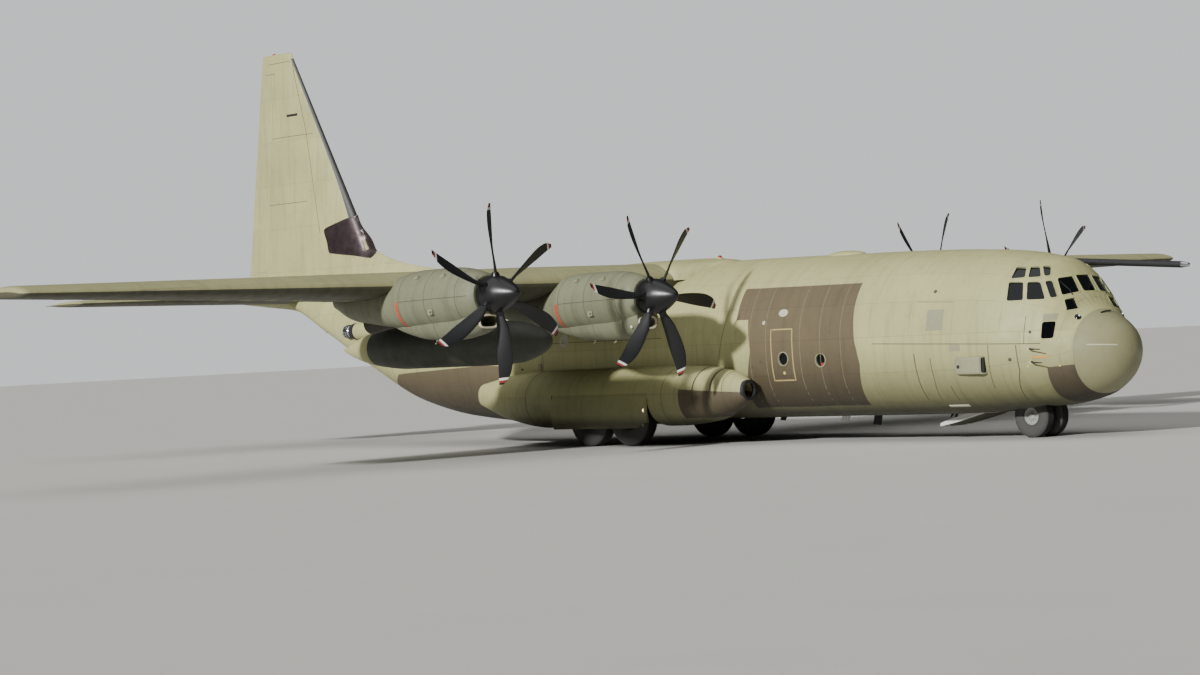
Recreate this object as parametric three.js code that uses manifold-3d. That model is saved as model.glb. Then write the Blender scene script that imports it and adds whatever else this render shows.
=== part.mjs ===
// Military transport plane with four turboprops, a high wing and a rear ramp, as a half-size scale model.
// Every size here is the full-size aircraft's, in millimetres, and the group is scaled once at the end.
// Stations are distances aft of the radome's tip. +X is forward, +Y is port, +Z is up, Z = 0 is the ground.
import * as THREE from "three";
import { mergeVertices } from "three/addons/utils/BufferGeometryUtils.js";
import Module from "manifold-3d";

const wasm = await Module();
wasm.setup();

const modelScale = 0.5;
const noseX = 16700; // X of the radome's tip, so that the origin is under the middle of the whole length
const seam = 0.8; // gap between two pieces that rest on each other
const running = 14; // gap round a piece that moves

// Driving sizes
const wall = 110; // fuselage skin with its frames
const radomeJoint = 780;
const frontJoint = 11900;
const rearJoint = 19700;
const holdFloorZ = 1030;
const holdHalfWidth = 1560;
const wingJointY = 5590;
const wingTipY = 20000;
const rampHingeStation = 21560;
const engineYs = { inner: 5020, outer: 9975 };
const hubZs = { inner: 3710, outer: 3900 };
const propellerStation = 10100;
const propellerRadius = 2055;
const noseWheel = { station: 2700, radius: 495, rim: 203, width: 330, y: 270 };
const mainWheel = { stations: [14108, 15632], radius: 710, rim: 254, width: 500, y: 2170 };

// Materials
const finish = (color, roughness, metalness) => ({ color, roughness, metalness });
const finishes = {
  green: finish(0x8b8d6b, 0.75, 0.0),
  radome: finish(0x7f8266, 0.55, 0.0),
  black: finish(0x1c1d1e, 0.6, 0.0),
  rubber: finish(0x202020, 0.9, 0.0),
  metal: finish(0x9a9a96, 0.4, 0.8),
  white: finish(0xd8d8d2, 0.5, 0.0),
  glass: finish(0x20282c, 0.1, 0.0),
  floor: finish(0x77797a, 0.6, 0.3),
};

// Closed geometry as a solid: doubles merged, collapsed faces dropped, faces turned to point outwards
function solid(geometry) {
  const bare = geometry.clone();
  bare.deleteAttribute("normal");
  bare.deleteAttribute("uv");
  const merged = mergeVertices(bare, 1e-3);
  const index = merged.index.array;
  const faces = [];
  for (let i = 0; i < index.length; i += 3) {
    const [a, b, c] = [index[i], index[i + 1], index[i + 2]];
    if (a !== b && b !== c && c !== a) faces.push(a, b, c);
  }
  const points = merged.attributes.position.array;
  const build = (list) =>
    new wasm.Manifold(
      new wasm.Mesh({ numProp: 3, vertProperties: points, triVerts: new Uint32Array(list) }),
    );
  const made = build(faces);
  if (made.volume() >= 0) return made;
  return build(faces.map((v, i) => (i % 3 === 1 ? faces[i + 1] : i % 3 === 2 ? faces[i - 1] : v)));
}

const at = (station, y, z) => new THREE.Vector3(noseX - station, y, z);
const lerp = THREE.MathUtils.lerp;
const radians = THREE.MathUtils.degToRad;
const joined = (...list) => list.reduce((a, b) => a.add(b));

// Box between two stations, two widths and two heights
function box(s0, s1, y0, y1, z0, z1) {
  const g = new THREE.BoxGeometry(s1 - s0, y1 - y0, z1 - z0);
  g.translate(noseX - (s0 + s1) / 2, (y0 + y1) / 2, (z0 + z1) / 2);
  return solid(g);
}

// Round bar between two points, plain or tapered
function bar(from, to, radius, endRadius = radius, sides = 12) {
  const axis = to.clone().sub(from);
  const g = new THREE.CylinderGeometry(endRadius, radius, axis.length(), sides);
  g.applyQuaternion(
    new THREE.Quaternion().setFromUnitVectors(new THREE.Vector3(0, 1, 0), axis.normalize()),
  );
  const middle = from.clone().add(to).multiplyScalar(0.5);
  g.translate(middle.x, middle.y, middle.z);
  return solid(g);
}

// Geometry of a solid, and the solid moved, turned or mirrored by a matrix
function geometryOf(made) {
  const mesh = made.getMesh();
  const points = new Float32Array(mesh.numVert * 3);
  for (let i = 0; i < mesh.numVert; i++) {
    points.set(mesh.vertProperties.subarray(i * mesh.numProp, i * mesh.numProp + 3), i * 3);
  }
  const g = new THREE.BufferGeometry().setAttribute("position", new THREE.BufferAttribute(points, 3));
  g.setIndex(new THREE.BufferAttribute(mesh.triVerts, 1));
  return g;
}
const changed = (made, matrix) => solid(geometryOf(made).applyMatrix4(matrix));
const mirrored = (made) => changed(made, new THREE.Matrix4().makeScale(1, -1, 1));
const shifted = (made, x, y, z) => changed(made, new THREE.Matrix4().makeTranslation(x, y, z));

// Plates drawn in side view (station, z) and in plan (station, y)
function extruded(points, depth, basis, shift) {
  const shape = new THREE.Shape(points.map(([a, b]) => new THREE.Vector2(a, b)));
  const g = new THREE.ExtrudeGeometry(shape, { depth, bevelEnabled: false });
  g.applyMatrix4(new THREE.Matrix4().makeBasis(...basis));
  g.translate(shift.x, shift.y, shift.z);
  return solid(g);
}
const unit = {
  x: new THREE.Vector3(1, 0, 0),
  y: new THREE.Vector3(0, 1, 0),
  z: new THREE.Vector3(0, 0, 1),
  backX: new THREE.Vector3(-1, 0, 0),
};
const sidePlate = (points, y0, y1) =>
  extruded(points, y1 - y0, [unit.backX, unit.z, unit.y], at(0, y0, 0));
const planPlate = (points, z0, z1) =>
  extruded(points, z1 - z0, [unit.backX, unit.y, unit.z], at(0, 0, z0));

// Skin over rings of points, closed at both ends round each ring's middle
function loft(rings) {
  const count = rings[0].length;
  const vertices = rings.flat();
  const faces = [];
  rings.slice(1).forEach((ring, r) => {
    for (let i = 0; i < count; i++) {
      const next = (i + 1) % count;
      const [a, b] = [r * count + i, r * count + next];
      const [c, d] = [a + count, b + count];
      faces.push(a, b, d, a, d, c);
    }
  });
  for (const end of [0, rings.length - 1]) {
    const middle = rings[end].reduce((sum, p) => sum.add(p), new THREE.Vector3()).divideScalar(count);
    vertices.push(middle);
    for (let i = 0; i < count; i++) {
      const [a, b] = [end * count + i, end * count + ((i + 1) % count)];
      faces.push(...(end ? [a, b, vertices.length - 1] : [b, a, vertices.length - 1]));
    }
  }
  const g = new THREE.BufferGeometry().setFromPoints(vertices);
  g.setIndex(faces);
  return solid(g);
}

// Turned piece: profile of [distance along the axis, radius], axis along +X or +Y
function turned(profile, axis, sides) {
  const g = new THREE.LatheGeometry(profile.map(([along, r]) => new THREE.Vector2(r, along)), sides);
  if (axis === "x") g.rotateZ(-Math.PI / 2);
  return solid(g);
}

// Rounded ring across the fuselage: an ellipse above its widest height, a squarer curve below it
function ring(station, halfWidth, top, widest, bottom, power, centreY = 0, sides = 24) {
  const points = [];
  for (let i = 0; i < sides; i++) {
    const angle = (2 * Math.PI * i) / sides;
    const [c, s] = [Math.cos(angle), Math.sin(angle)];
    const curve = (v) => Math.sign(v) * Math.pow(Math.abs(v), 2 / power);
    points.push(
      s >= 0
        ? at(station, centreY + halfWidth * c, widest + (top - widest) * s)
        : at(station, centreY + halfWidth * curve(c), widest + (widest - bottom) * curve(s)),
    );
  }
  return points;
}

// Fuselage: station, half width, top, widest height, bottom, power of the lower curve
const hullRows = [
  [0, 0, 1950, 1950, 1950, 2],
  [60, 330, 2250, 1950, 1650, 2],
  [200, 610, 2480, 1940, 1400, 2],
  [450, 900, 2680, 1950, 1160, 2.1],
  [750, 1150, 2860, 1960, 990, 2.2],
  [950, 1290, 3020, 2000, 900, 2.3],
  [1150, 1410, 3370, 2050, 850, 2.4],
  [1400, 1550, 3770, 2100, 800, 2.5],
  [1700, 1700, 4070, 2150, 750, 2.6],
  [2100, 1850, 4180, 2200, 700, 2.7],
  [2700, 2000, 4290, 2280, 650, 2.8],
  [3700, 2110, 4385, 2350, 600, 2.9],
  [5500, 2150, 4470, 2400, 580, 3],
  [8100, 2150, 4525, 2420, 580, 3],
  [12600, 2150, 4580, 2430, 580, 3],
  [19700, 2150, 4580, 2430, 600, 3],
  [21560, 2130, 4590, 2480, 740, 3],
  [23500, 2040, 4610, 2620, 1130, 2.9],
  [25500, 1820, 4640, 2950, 2000, 2.7],
  [28000, 1400, 4690, 3650, 3150, 2.4],
  [30000, 1000, 4740, 4250, 3950, 2.2],
  [32500, 560, 4780, 4500, 4230, 2],
  [34200, 120, 4680, 4560, 4440, 2],
  [34370, 30, 4620, 4570, 4520, 2],
];

// The whole fuselage form, drawn in by an inset
function hull(inset) {
  const rows = hullRows.filter(([, w, top, , bottom]) => w > inset + 5 && top - bottom > 2 * inset + 20);
  return loft(
    (inset ? rows : hullRows).map(([s, w, top, widest, bottom, power]) =>
      ring(s, w - inset, top - inset, widest, Math.min(bottom + inset, widest - 5), power),
    ),
  );
}
const hullOuter = hull(0);
const hullInner = hull(wall);
const hullFit = hull(wall + seam); // the room that pieces inside the skin may fill
const hullShell = hullOuter.subtract(hullInner);

// Aerofoil ring: fractions of the chord, thickness by the usual four-digit formula, gentle camber
const chordSteps = [1, 0.74, 0.5, 0.3, 0.15, 0.05, 0.012, 0];
function halfThickness(f) {
  const curve = 0.2969 * Math.sqrt(f) - 0.126 * f - 0.3516 * f * f + 0.2843 * f ** 3 - 0.1015 * f ** 4;
  return 5 * curve;
}
function camber(f, height) {
  const crest = 0.4;
  return f < crest
    ? (height / crest ** 2) * (2 * crest * f - f * f)
    : (height / (1 - crest) ** 2) * (1 - 2 * crest + 2 * crest * f - f * f);
}

// A surface's section: leading edge station, chord, thickness ratio, height of the leading edge, tilt
function sectionPoint(section, fraction, side, grow) {
  const half = Math.max(section.ratio * halfThickness(fraction), 6 / section.chord);
  const across = (camber(fraction, section.camber) + side * half) * section.chord + side * grow;
  const along = fraction * section.chord + (fraction === 1 ? grow : fraction === 0 ? -grow : 0);
  const tilt = radians(section.tilt);
  return [
    section.station + along * Math.cos(tilt) + across * Math.sin(tilt),
    section.height - along * Math.sin(tilt) + across * Math.cos(tilt),
  ];
}
function sectionRing(section, place, grow) {
  const upper = chordSteps.map((f) => sectionPoint(section, f, 1, grow));
  const lower = chordSteps.slice(0, -1).map((f) => sectionPoint(section, f, -1, grow));
  return [...upper, ...lower.reverse()].map(([s, h]) => place(s, h));
}
function mixed(a, b, t) {
  return Object.fromEntries(Object.keys(a).map((key) => [key, lerp(a[key], b[key], t)]));
}

// Wing
const wingRoot = { station: 13070, chord: 4880, ratio: 0.18, height: 4170, tilt: 3, camber: 0.02 };
const wingEnd = { station: 13500, chord: 2440, ratio: 0.12, height: 4330, tilt: 0, camber: 0.02 };
const wingCap = { station: 13760, chord: 1850, ratio: 0.05, height: 4340, tilt: 0, camber: 0.02 };
const wingCapY = 20205;
const wingAt = (y) =>
  mixed(wingRoot, wingEnd, Math.max(0, (Math.abs(y) - wingJointY) / (wingTipY - wingJointY)));
const wingRing = (y, grow = 0, section = wingAt(y)) => sectionRing(section, (s, h) => at(s, y, h), grow);
const wingPart = (y0, y1, grow = 0) => loft([wingRing(y0, grow), wingRing(y1, grow)]);
const wingMiddle = wingPart(-wingJointY + seam, wingJointY);
const wingMiddleRoom = wingPart(-wingJointY - seam, wingJointY + seam, seam);
const wingOuter = loft([
  wingRing(wingJointY + seam),
  wingRing(wingTipY),
  wingRing(wingCapY, 0, wingCap),
]);
const wingOuterRoom = wingPart(wingJointY, wingTipY, seam);

// Tailplane, and the fin in side view with its sections lying flat
const tailRoot = { station: 29150, chord: 4250, ratio: 0.11, height: 4480, tilt: 0, camber: 0 };
const tailEnd = { station: 30330, chord: 1850, ratio: 0.09, height: 4480, tilt: 0, camber: 0 };
const tailTipY = 8020;
const tailAt = (y) => mixed(tailRoot, tailEnd, Math.abs(y) / tailTipY);
const tailRing = (y, grow = 0) => sectionRing(tailAt(y), (s, h) => at(s, y, h), grow);
const finRoot = { station: 26720, chord: 6660, ratio: 0.1, height: 0, tilt: 0, camber: 0 };
const finEnd = { station: 30600, chord: 1500, ratio: 0.11, height: 0, tilt: 0, camber: 0 };
const finRootZ = 4640;
const finTipZ = 11700;
const finCap = { station: 30950, chord: 1050, ratio: 0.05, height: 0, tilt: 0, camber: 0 };
const finCapZ = 11840;
const finAt = (z) => mixed(finRoot, finEnd, (z - finRootZ) / (finTipZ - finRootZ));
const finRing = (z, section = finAt(z)) => sectionRing(section, (s, h) => at(s, h, z), 0);

// Control surfaces
// Each is cut out of its parent aft of a hinge line, gets a round nose on that line and a pin at each end
// from and to: first and last place along the span; hinge: a fraction of the chord, or one station for both sides
const aileron = { from: 12350, to: 19150, fraction: 0.76, endGap: 20 };
const flaps = {
  inner: { from: 2300, to: 5550, tracks: [2900, 4950], outerGap: running },
  outer: { from: 5640, to: 12250, tracks: [6900, 11200], outerGap: 4.2 * running },
};
const flapNose = 0.74;
const elevator = { from: 860, to: 7800, station: 31780, endGap: running };
const rudder = { from: 5300, to: 11250 };
const rudderHinge = [
  { station: 32350, z: rudder.from },
  { station: 31560, z: rudder.to },
];
const pinRadius = 25;

// Hinge point and nose radius of a section at a fraction of its chord
function hingeOf(section, fraction) {
  const [s, upper] = sectionPoint(section, fraction, 1, 0);
  const lower = sectionPoint(section, fraction, -1, 0)[1];
  return { station: s, height: (upper + lower) / 2, radius: ((upper - lower) / 2) * 0.96 };
}

// Pins out of both ends, seam clear of walls that stand square while the hinge line slants
function endPins(start, end, slant, gap) {
  const along = end.clone().sub(start).normalize();
  const reach = gap - 0.8 * seam - slant * pinRadius;
  return bar(
    start.clone().addScaledVector(along, -reach),
    end.clone().addScaledVector(along, reach),
    pinRadius,
    pinRadius,
    8,
  );
}

// The surface itself, and the room cut for it; parent is the loft that both come from
function hinged(parent, sectionAt, { from, to, fraction, station, endGap }) {
  const [a, b] = [from, to].map((y) => {
    const section = sectionAt(y);
    return hingeOf(section, fraction ?? (station - section.station) / section.chord);
  });
  const far = 3000;
  const region = (grow, gap) =>
    planPlate(
      [
        [a.station - grow, from - gap],
        [b.station - grow, to + gap],
        [b.station + far, to + gap],
        [a.station + far, from - gap],
      ],
      0,
      9000,
    );
  const start = at(a.station, from, a.height);
  const end = at(b.station, to, b.height);
  const along = end.clone().sub(start).normalize();
  const nose = bar(start, end, a.radius, b.radius, 16).intersect(region(far, 0));
  const pin = endPins(start, end, Math.hypot(along.x, along.z), endGap);
  const cutDepth = Math.max(a.radius, b.radius) + running;
  return {
    surface: joined(parent.intersect(region(0, 0)), nose, pin),
    room: region(cutDepth, endGap),
  };
}

// Curved bar about an axis: a slice of a ring, from one angle behind the vertical to another
function curvedBar(centre, axis, [low, high], [first, last], thickness) {
  const up = unit.z.clone().addScaledVector(axis, -axis.z).normalize();
  const back = up.clone().cross(axis);
  const steps = 6;
  const arc = (radius) =>
    Array.from({ length: steps + 1 }, (_, i) => {
      const angle = radians(lerp(first, last, i / steps));
      return [radius * Math.sin(angle), radius * Math.cos(angle)];
    });
  const shift = centre.clone().addScaledVector(axis, -thickness / 2);
  return extruded([...arc(low), ...arc(high).reverse()], thickness, [back, up, axis], shift);
}

// Flap: one panel that slides along curved tracks, about an axis under its nose line
const flapDrop = 500; // from the middle of the nose down to that axis
const track = { above: 60, half: 20, thickness: 36, first: -8, last: 38, spare: 3, play: 4 };
function flapPanel(parent, { from, to, tracks, outerGap }) {
  const a = hingeOf(wingAt(from), flapNose);
  const b = hingeOf(wingAt(to), flapNose);
  const far = 3000;
  const region = (grow, innerGap, endGap) =>
    planPlate(
      [
        [a.station - grow, from - innerGap],
        [b.station - grow, to + endGap],
        [b.station + far, to + endGap],
        [a.station + far, from - innerGap],
      ],
      0,
      9000,
    );
  const start = at(a.station, from, a.height - flapDrop);
  const end = at(b.station, to, b.height - flapDrop);
  const axis = end.clone().sub(start).normalize();
  const radius = flapDrop + track.above;
  const bars = (play, side, extra) =>
    tracks.map((y) =>
      curvedBar(
        start.clone().lerp(end, (y - from) / (to - from)),
        axis,
        [radius - track.half - play, radius + track.half + play],
        [track.first, track.last + extra],
        track.thickness + 2 * side,
      ),
    );
  const slots = bars(track.play, seam, track.spare);
  return {
    surface: slots.reduce((made, slot) => made.subtract(slot), parent.intersect(region(0, 0, 0))),
    room: region(running, running, outerGap),
    tracks: joined(...bars(0, 0, 0)),
  };
}

const innerFlap = flapPanel(wingMiddle, flaps.inner);
const outerFlap = flapPanel(wingOuter, flaps.outer);
const aileronCut = hinged(wingOuter, wingAt, aileron);
const wingCentre = joined(
  wingMiddle.subtract(innerFlap.room).subtract(mirrored(innerFlap.room)),
  innerFlap.tracks,
  mirrored(innerFlap.tracks),
);
const wingPort = joined(wingOuter.subtract(outerFlap.room).subtract(aileronCut.room), outerFlap.tracks);

// Tailplane with its elevator cut out; the elevators' inner ends stand clear of the tail cone
const tailHalf = loft([tailRing(0), tailRing(tailTipY - 130), tailRing(tailTipY)]);
const tailWhole = loft([tailRing(-tailTipY), tailRing(0), tailRing(tailTipY)]);
const tailRoom = loft([tailRing(-tailTipY, seam), tailRing(0, seam), tailRing(tailTipY, seam)]);
const elevatorCut = hinged(tailHalf, tailAt, elevator);
const tailplane = tailWhole.subtract(elevatorCut.room).subtract(mirrored(elevatorCut.room));

// Fin with its dorsal fillet, fixed base under the rudder, and the rudder
const finWhole = loft([
  finRing(finRootZ - 240, { ...finRoot, station: 26600, chord: 6780 }),
  finRing(finRootZ + 600),
  finRing(finTipZ),
  finRing(finCapZ, finCap),
]);
const dorsalRows = [
  // station, height, half width
  [22600, 4620, 30],
  [24150, 4960, 110],
  [26000, 5300, 200],
  [27400, 5760, 230],
  [28200, 5900, 120],
];
const dorsal = loft(
  dorsalRows.map(([s, height, half]) => [
    at(s, -half * 1.6, 4400),
    at(s, half * 1.6, 4400),
    at(s, half, (4400 + height) / 2),
    at(s, half * 0.4, height - half * 0.3),
    at(s, 0, height),
    at(s, -half * 0.4, height - half * 0.3),
    at(s, -half, (4400 + height) / 2),
  ]),
);
const rudderStart = at(rudderHinge[0].station, 0, rudderHinge[0].z);
const rudderEnd = at(rudderHinge[1].station, 0, rudderHinge[1].z);
function finHalfAt(point) {
  const section = finAt(point.z);
  const fraction = (noseX - point.x - section.station) / section.chord;
  return section.ratio * halfThickness(fraction) * section.chord * 0.96;
}
const rudderRadii = [finHalfAt(rudderStart), finHalfAt(rudderEnd)];
function aftOfRudderLine(grow, endGap) {
  const [low, high] = rudderHinge;
  return sidePlate(
    [
      [low.station - grow, low.z - endGap],
      [low.station + 3000, low.z - endGap],
      [low.station + 3000, high.z + endGap],
      [high.station - grow, high.z + endGap],
    ],
    -800,
    800,
  );
}
const rudderSolid = joined(
  finWhole.intersect(aftOfRudderLine(0, 0)),
  bar(rudderStart, rudderEnd, rudderRadii[0], rudderRadii[1], 16),
  endPins(rudderStart, rudderEnd, (rudderEnd.x - rudderStart.x) / rudderEnd.distanceTo(rudderStart), running),
);
const hullRoom = hull(-seam);
const finSolid = joined(finWhole, dorsal)
  .subtract(aftOfRudderLine(rudderRadii[0] + running, running))
  .subtract(hullRoom)
  .subtract(tailRoom);

// Fuselage openings
// Crew door, port side: hinged along its lower edge
const crewDoor = { front: 3000, back: 3780, low: 900, high: 2560 };
const crewDoorCut = (gap, lowGap = gap) =>
  box(crewDoor.front - gap, crewDoor.back + gap, 900, 2600, crewDoor.low - lowGap, crewDoor.high + gap);
const sillGap = 44; // room under the door, whose lower edge swings past the sill
// Rear ramp and the upper cargo door behind it, in side view
const rampHalfWidth = 1500;
const rampEnd = 24700;
const rampHingeZ = holdFloorZ;
const doorEnd = 28300;
const doorHalfWidth = { front: 1480, back: 1000 };
const panelPlan = (s0, s1, half0, half1, z0, z1) =>
  planPlate(
    [
      [s0, -half0],
      [s1, -half1],
      [s1, half1],
      [s0, half0],
    ],
    z0,
    z1,
  );
const rampCut = (gap) =>
  panelPlan(rampHingeStation - gap, rampEnd + gap, rampHalfWidth + gap, rampHalfWidth + gap, 0, 2300);
const cargoDoorCut = (gap) =>
  panelPlan(rampEnd - gap, doorEnd + gap, doorHalfWidth.front + gap, doorHalfWidth.back + gap, 0, 3500);
const lowerHalf = hullShell.intersect(box(rearJoint, 30000, -2200, 2200, 0, 3600));
// Paratroop door, one on each side
const troopDoor = { front: 20350, back: 21260, low: holdFloorZ, high: 2860 };
const troopDoorCut = (gap) =>
  box(troopDoor.front - gap, troopDoor.back + gap, 1500, 2600, troopDoor.low - gap, troopDoor.high + gap);
// Nose gear bay, wide enough for the wheels at full steering lock
const noseBay = box(1950, 3480, -690, 690, 0, 1000);
// Wheel well, in the sponson and the fuselage side
const well = { front: 13150, back: 16590, inner: 1660, outer: 2600, top: 1740 };
const wellBox = box(well.front, well.back, well.inner, well.outer, 0, well.top);
const wellLiner = box(
  well.front - wall,
  well.back + wall,
  well.inner - 80,
  2200,
  holdFloorZ - 300,
  well.top + 80,
);

// Cockpit windows of one side: cut across (side) or along (front) the fuselage
// side windows: front and back station, low and high z; front windows: inner and outer y, low and high z
const sideWindows = [
  [1290, 1520, 3160, 3560],
  [1600, 2010, 3150, 3600],
  [2090, 2430, 3140, 3560],
  [1130, 1420, 2880, 3080],
];
const browWindows = [
  [1620, 1900, 3700, 3860],
  [1970, 2230, 3690, 3850],
];
const frontWindows = [
  [-240, 240, 3190, 3640],
  [320, 860, 3190, 3640],
];
const roundWindow = 150;
const roundWindows = [
  { station: 7570, z: 2000 },
  { station: 8790, z: 2060 },
];
const forwardShell = hullShell.intersect(box(radomeJoint + seam, frontJoint, -3000, 3000, 0, 6000));
let forward = forwardShell.subtract(crewDoorCut(running, sillGap)).subtract(noseBay);
for (const [s0, s1, z0, z1] of [...sideWindows, ...browWindows]) {
  const cut = box(s0, s1, 500, 2600, z0, z1);
  forward = forward.subtract(cut).subtract(mirrored(cut));
}
for (const [y0, y1, z0, z1] of frontWindows) {
  const cut = box(600, 1750, y0, y1, z0, z1);
  forward = forward.subtract(cut).subtract(mirrored(cut));
}
for (const { station, z } of roundWindows) {
  forward = forward.subtract(bar(at(station, -2600, z), at(station, 2600, z), roundWindow, roundWindow, 12));
}

// On the forward fuselage: a low dome on the roof, an air scoop on the starboard side, a gear door under the belly
const roofDome = { station: 8500, z: 4505, halfLength: 570, halfWidth: 330, halfHeight: 115 };
const domeShape = new THREE.SphereGeometry(1, 16, 10);
domeShape.scale(roofDome.halfLength, roofDome.halfWidth, roofDome.halfHeight);
domeShape.translate(noseX - roofDome.station, 0, roofDome.z);
const scoop = { front: 2623, back: 3479, low: 1540, high: 1945, skin: 1945, depth: 130, lip: 30 };
const scoopOuter = -scoop.skin - scoop.depth;
const scoopBody = planPlate(
  [
    [scoop.front, scoopOuter],
    [scoop.front + 500, scoopOuter - 60],
    [scoop.back, scoopOuter + 20],
    [scoop.back, -scoop.skin],
    [scoop.front, -scoop.skin + 100],
  ],
  scoop.low,
  scoop.high,
).subtract(
  planPlate(
    [
      [scoop.front - 10, scoopOuter + scoop.lip],
      [scoop.front + 320, scoopOuter - 5],
      [scoop.front + 320, -scoop.skin - 45],
      [scoop.front - 10, -scoop.skin - 10],
    ],
    scoop.low + scoop.lip,
    scoop.high - scoop.lip,
  ),
);
const noseDoor = { front: [4000, 622], back: [5350, 325], half: 520, thickness: 30, linkY: 330, link: 24 };
const noseDoorPanel = joined(
  sidePlate(
    [
      noseDoor.front,
      noseDoor.back,
      [noseDoor.back[0], noseDoor.back[1] - noseDoor.thickness],
      [noseDoor.front[0], noseDoor.front[1] - noseDoor.thickness],
    ],
    -noseDoor.half,
    noseDoor.half,
  ),
  ...[-noseDoor.linkY, noseDoor.linkY].map((y) =>
    bar(at(noseDoor.back[0] - 130, y, noseDoor.back[1] + 10), at(noseDoor.back[0] - 380, y, 640), noseDoor.link),
  ),
);
const onForward = joined(solid(domeShape), scoopBody, noseDoorPanel).subtract(hullInner);
forward = joined(forward, onForward);

// Centre fuselage: open at the top where the wing lies, with wheel wells in its lower sides
const centreShell = hullShell.intersect(box(frontJoint + seam, rearJoint, -3000, 3000, 0, 6000));
const centre = joined(centreShell, wellLiner.intersect(hullOuter), mirrored(wellLiner).intersect(hullOuter))
  .subtract(wellBox)
  .subtract(mirrored(wellBox))
  .subtract(wingMiddleRoom);

// Aft fuselage with its door openings and the tailplane's seat
const aft = hullShell
  .intersect(box(rearJoint + seam, 35000, -3000, 3000, 0, 6000))
  .subtract(rampCut(running))
  .subtract(cargoDoorCut(running))
  .subtract(box(doorEnd, doorEnd + 90, -1020, 1020, 3395, 3620))
  .subtract(troopDoorCut(seam))
  .subtract(mirrored(troopDoorCut(seam)))
  .subtract(tailRoom);

// Sensor pod on each side of the aft fuselage: station, radius, y, z
const podRows = [
  [23900, 60, 1950, 3390],
  [24500, 200, 1900, 3360],
  [25300, 240, 1850, 3330],
  [26350, 240, 1800, 3310],
];
const pod = loft(podRows.map(([s, r, y, z]) => ring(s, r, z + r, z, z - r, 2, y, 12))).subtract(hullInner);
const aftWithPods = joined(aft, pod, mirrored(pod));

const crewDoorHinge = { y: 1508, z: 916 };
const crewDoorPin = 18;
const crewDoorSolid = joined(
  forwardShell.intersect(crewDoorCut(0)),
  bar(
    at(crewDoor.front - running + seam, crewDoorHinge.y, crewDoorHinge.z),
    at(crewDoor.back + running - seam, crewDoorHinge.y, crewDoorHinge.z),
    crewDoorPin,
    crewDoorPin,
    8,
  ),
);
const troopDoorSolid = hullShell.intersect(troopDoorCut(0));
const acrossPin = (station, z, y0, y1) => bar(at(station, y0, z), at(station, y1, z), pinRadius, pinRadius, 8);
const rampOutline = [
  [rampHingeStation + 16, holdFloorZ],
  [24615, 1775],
  [24660, 1600],
  [24660, 600],
  [rampHingeStation + 230, 600],
]; // station, z: flat floor, ends inside the swing of the door behind, lower front edge clear of the belly
const rampPin = 15;
const rampPinY = rampHalfWidth + running - seam;
const rampSolid = joined(
  hullOuter.intersect(rampCut(0)).intersect(sidePlate(rampOutline, -2000, 2000)),
  bar(
    at(rampHingeStation + 16, -rampPinY, rampHingeZ - rampPin),
    at(rampHingeStation + 16, rampPinY, rampHingeZ - rampPin),
    rampPin,
    rampPin,
    8,
  ),
);
const cargoDoorHinge = { station: doorEnd - 30, z: 3355 };
const cargoDoorPin = doorHalfWidth.back + running * 1.7;
const cargoDoorSolid = joined(
  lowerHalf.intersect(cargoDoorCut(0)).subtract(box(doorEnd - 10, doorEnd + 10, -2000, 2000, 0, 4000)),
  acrossPin(cargoDoorHinge.station, cargoDoorHinge.z, -cargoDoorPin, cargoDoorPin),
);

// Inside: cargo floor, and the flight deck with its bulkheads, panel and seats
const cargoFloor = box(3950, rampHingeStation - running, -holdHalfWidth, holdHalfWidth, holdFloorZ - 100, holdFloorZ)
  .intersect(hullFit);
const deckZ = 1950;
const flightDeck = joined(
  box(radomeJoint + 40, 3900, -2200, 2200, deckZ - 80, deckZ),
  box(radomeJoint + 40, radomeJoint + 140, -2200, 2200, 0, 2600),
  box(3800, 3900, -2200, 2200, holdFloorZ - 80, 5000).subtract(box(3700, 4000, -400, 400, deckZ, 3800)),
  box(1150, 1450, -1000, 1000, deckZ - 10, 2850),
  box(1400, 2100, -180, 180, deckZ - 10, 2450),
  ...[-560, 560].map((y) => box(1950, 2450, y - 250, y + 250, deckZ - 10, 2450)),
  ...[-560, 560].map((y) => box(2330, 2450, y - 230, y + 230, 2400, 3150)),
  box(2900, 3350, -250, 250, deckZ - 10, 2450),
).intersect(hullFit);

// Cockpit glazing: one thin band inside the window frames
const glassDepth = 26;
const glazing = hull(wall + seam)
  .subtract(hull(wall + seam + glassDepth))
  .intersect(box(1000, 2500, -2200, 2200, 2860, 4000));

// Radome: a deep bowl, open at its joint
const radome = hullOuter
  .subtract(hull(60))
  .intersect(box(-100, radomeJoint, -2000, 2000, 0, 4000));

// Sponson: station, half width, half height, middle y, middle z
const sponsonRows = [
  [9650, 240, 250, 2500, 1345],
  [9950, 390, 390, 2420, 1335],
  [10450, 560, 540, 2300, 1310],
  [11300, 830, 690, 2080, 1270],
  [12500, 960, 760, 1960, 1250],
  [17300, 960, 760, 1960, 1250],
  [18600, 700, 620, 2050, 1300],
  [19900, 250, 300, 2150, 1400],
];
const sponsonForm = loft(
  sponsonRows.map(([s, a, b, y, z]) => ring(s, a, z + b, z, z - b, 2.4, y, 16)),
);
const doorTop = 1360;
const doorSpan = { front: 12800, back: 16650 };
const sponson = sponsonForm
  .subtract(hullRoom)
  .subtract(wellBox)
  .subtract(box(doorSpan.front, doorSpan.back, 1600, 3200, 0, doorTop))
  .subtract(bar(at(9500, 2500, 1345), at(10300, 2450, 1340), 190, 150, 12));
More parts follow.
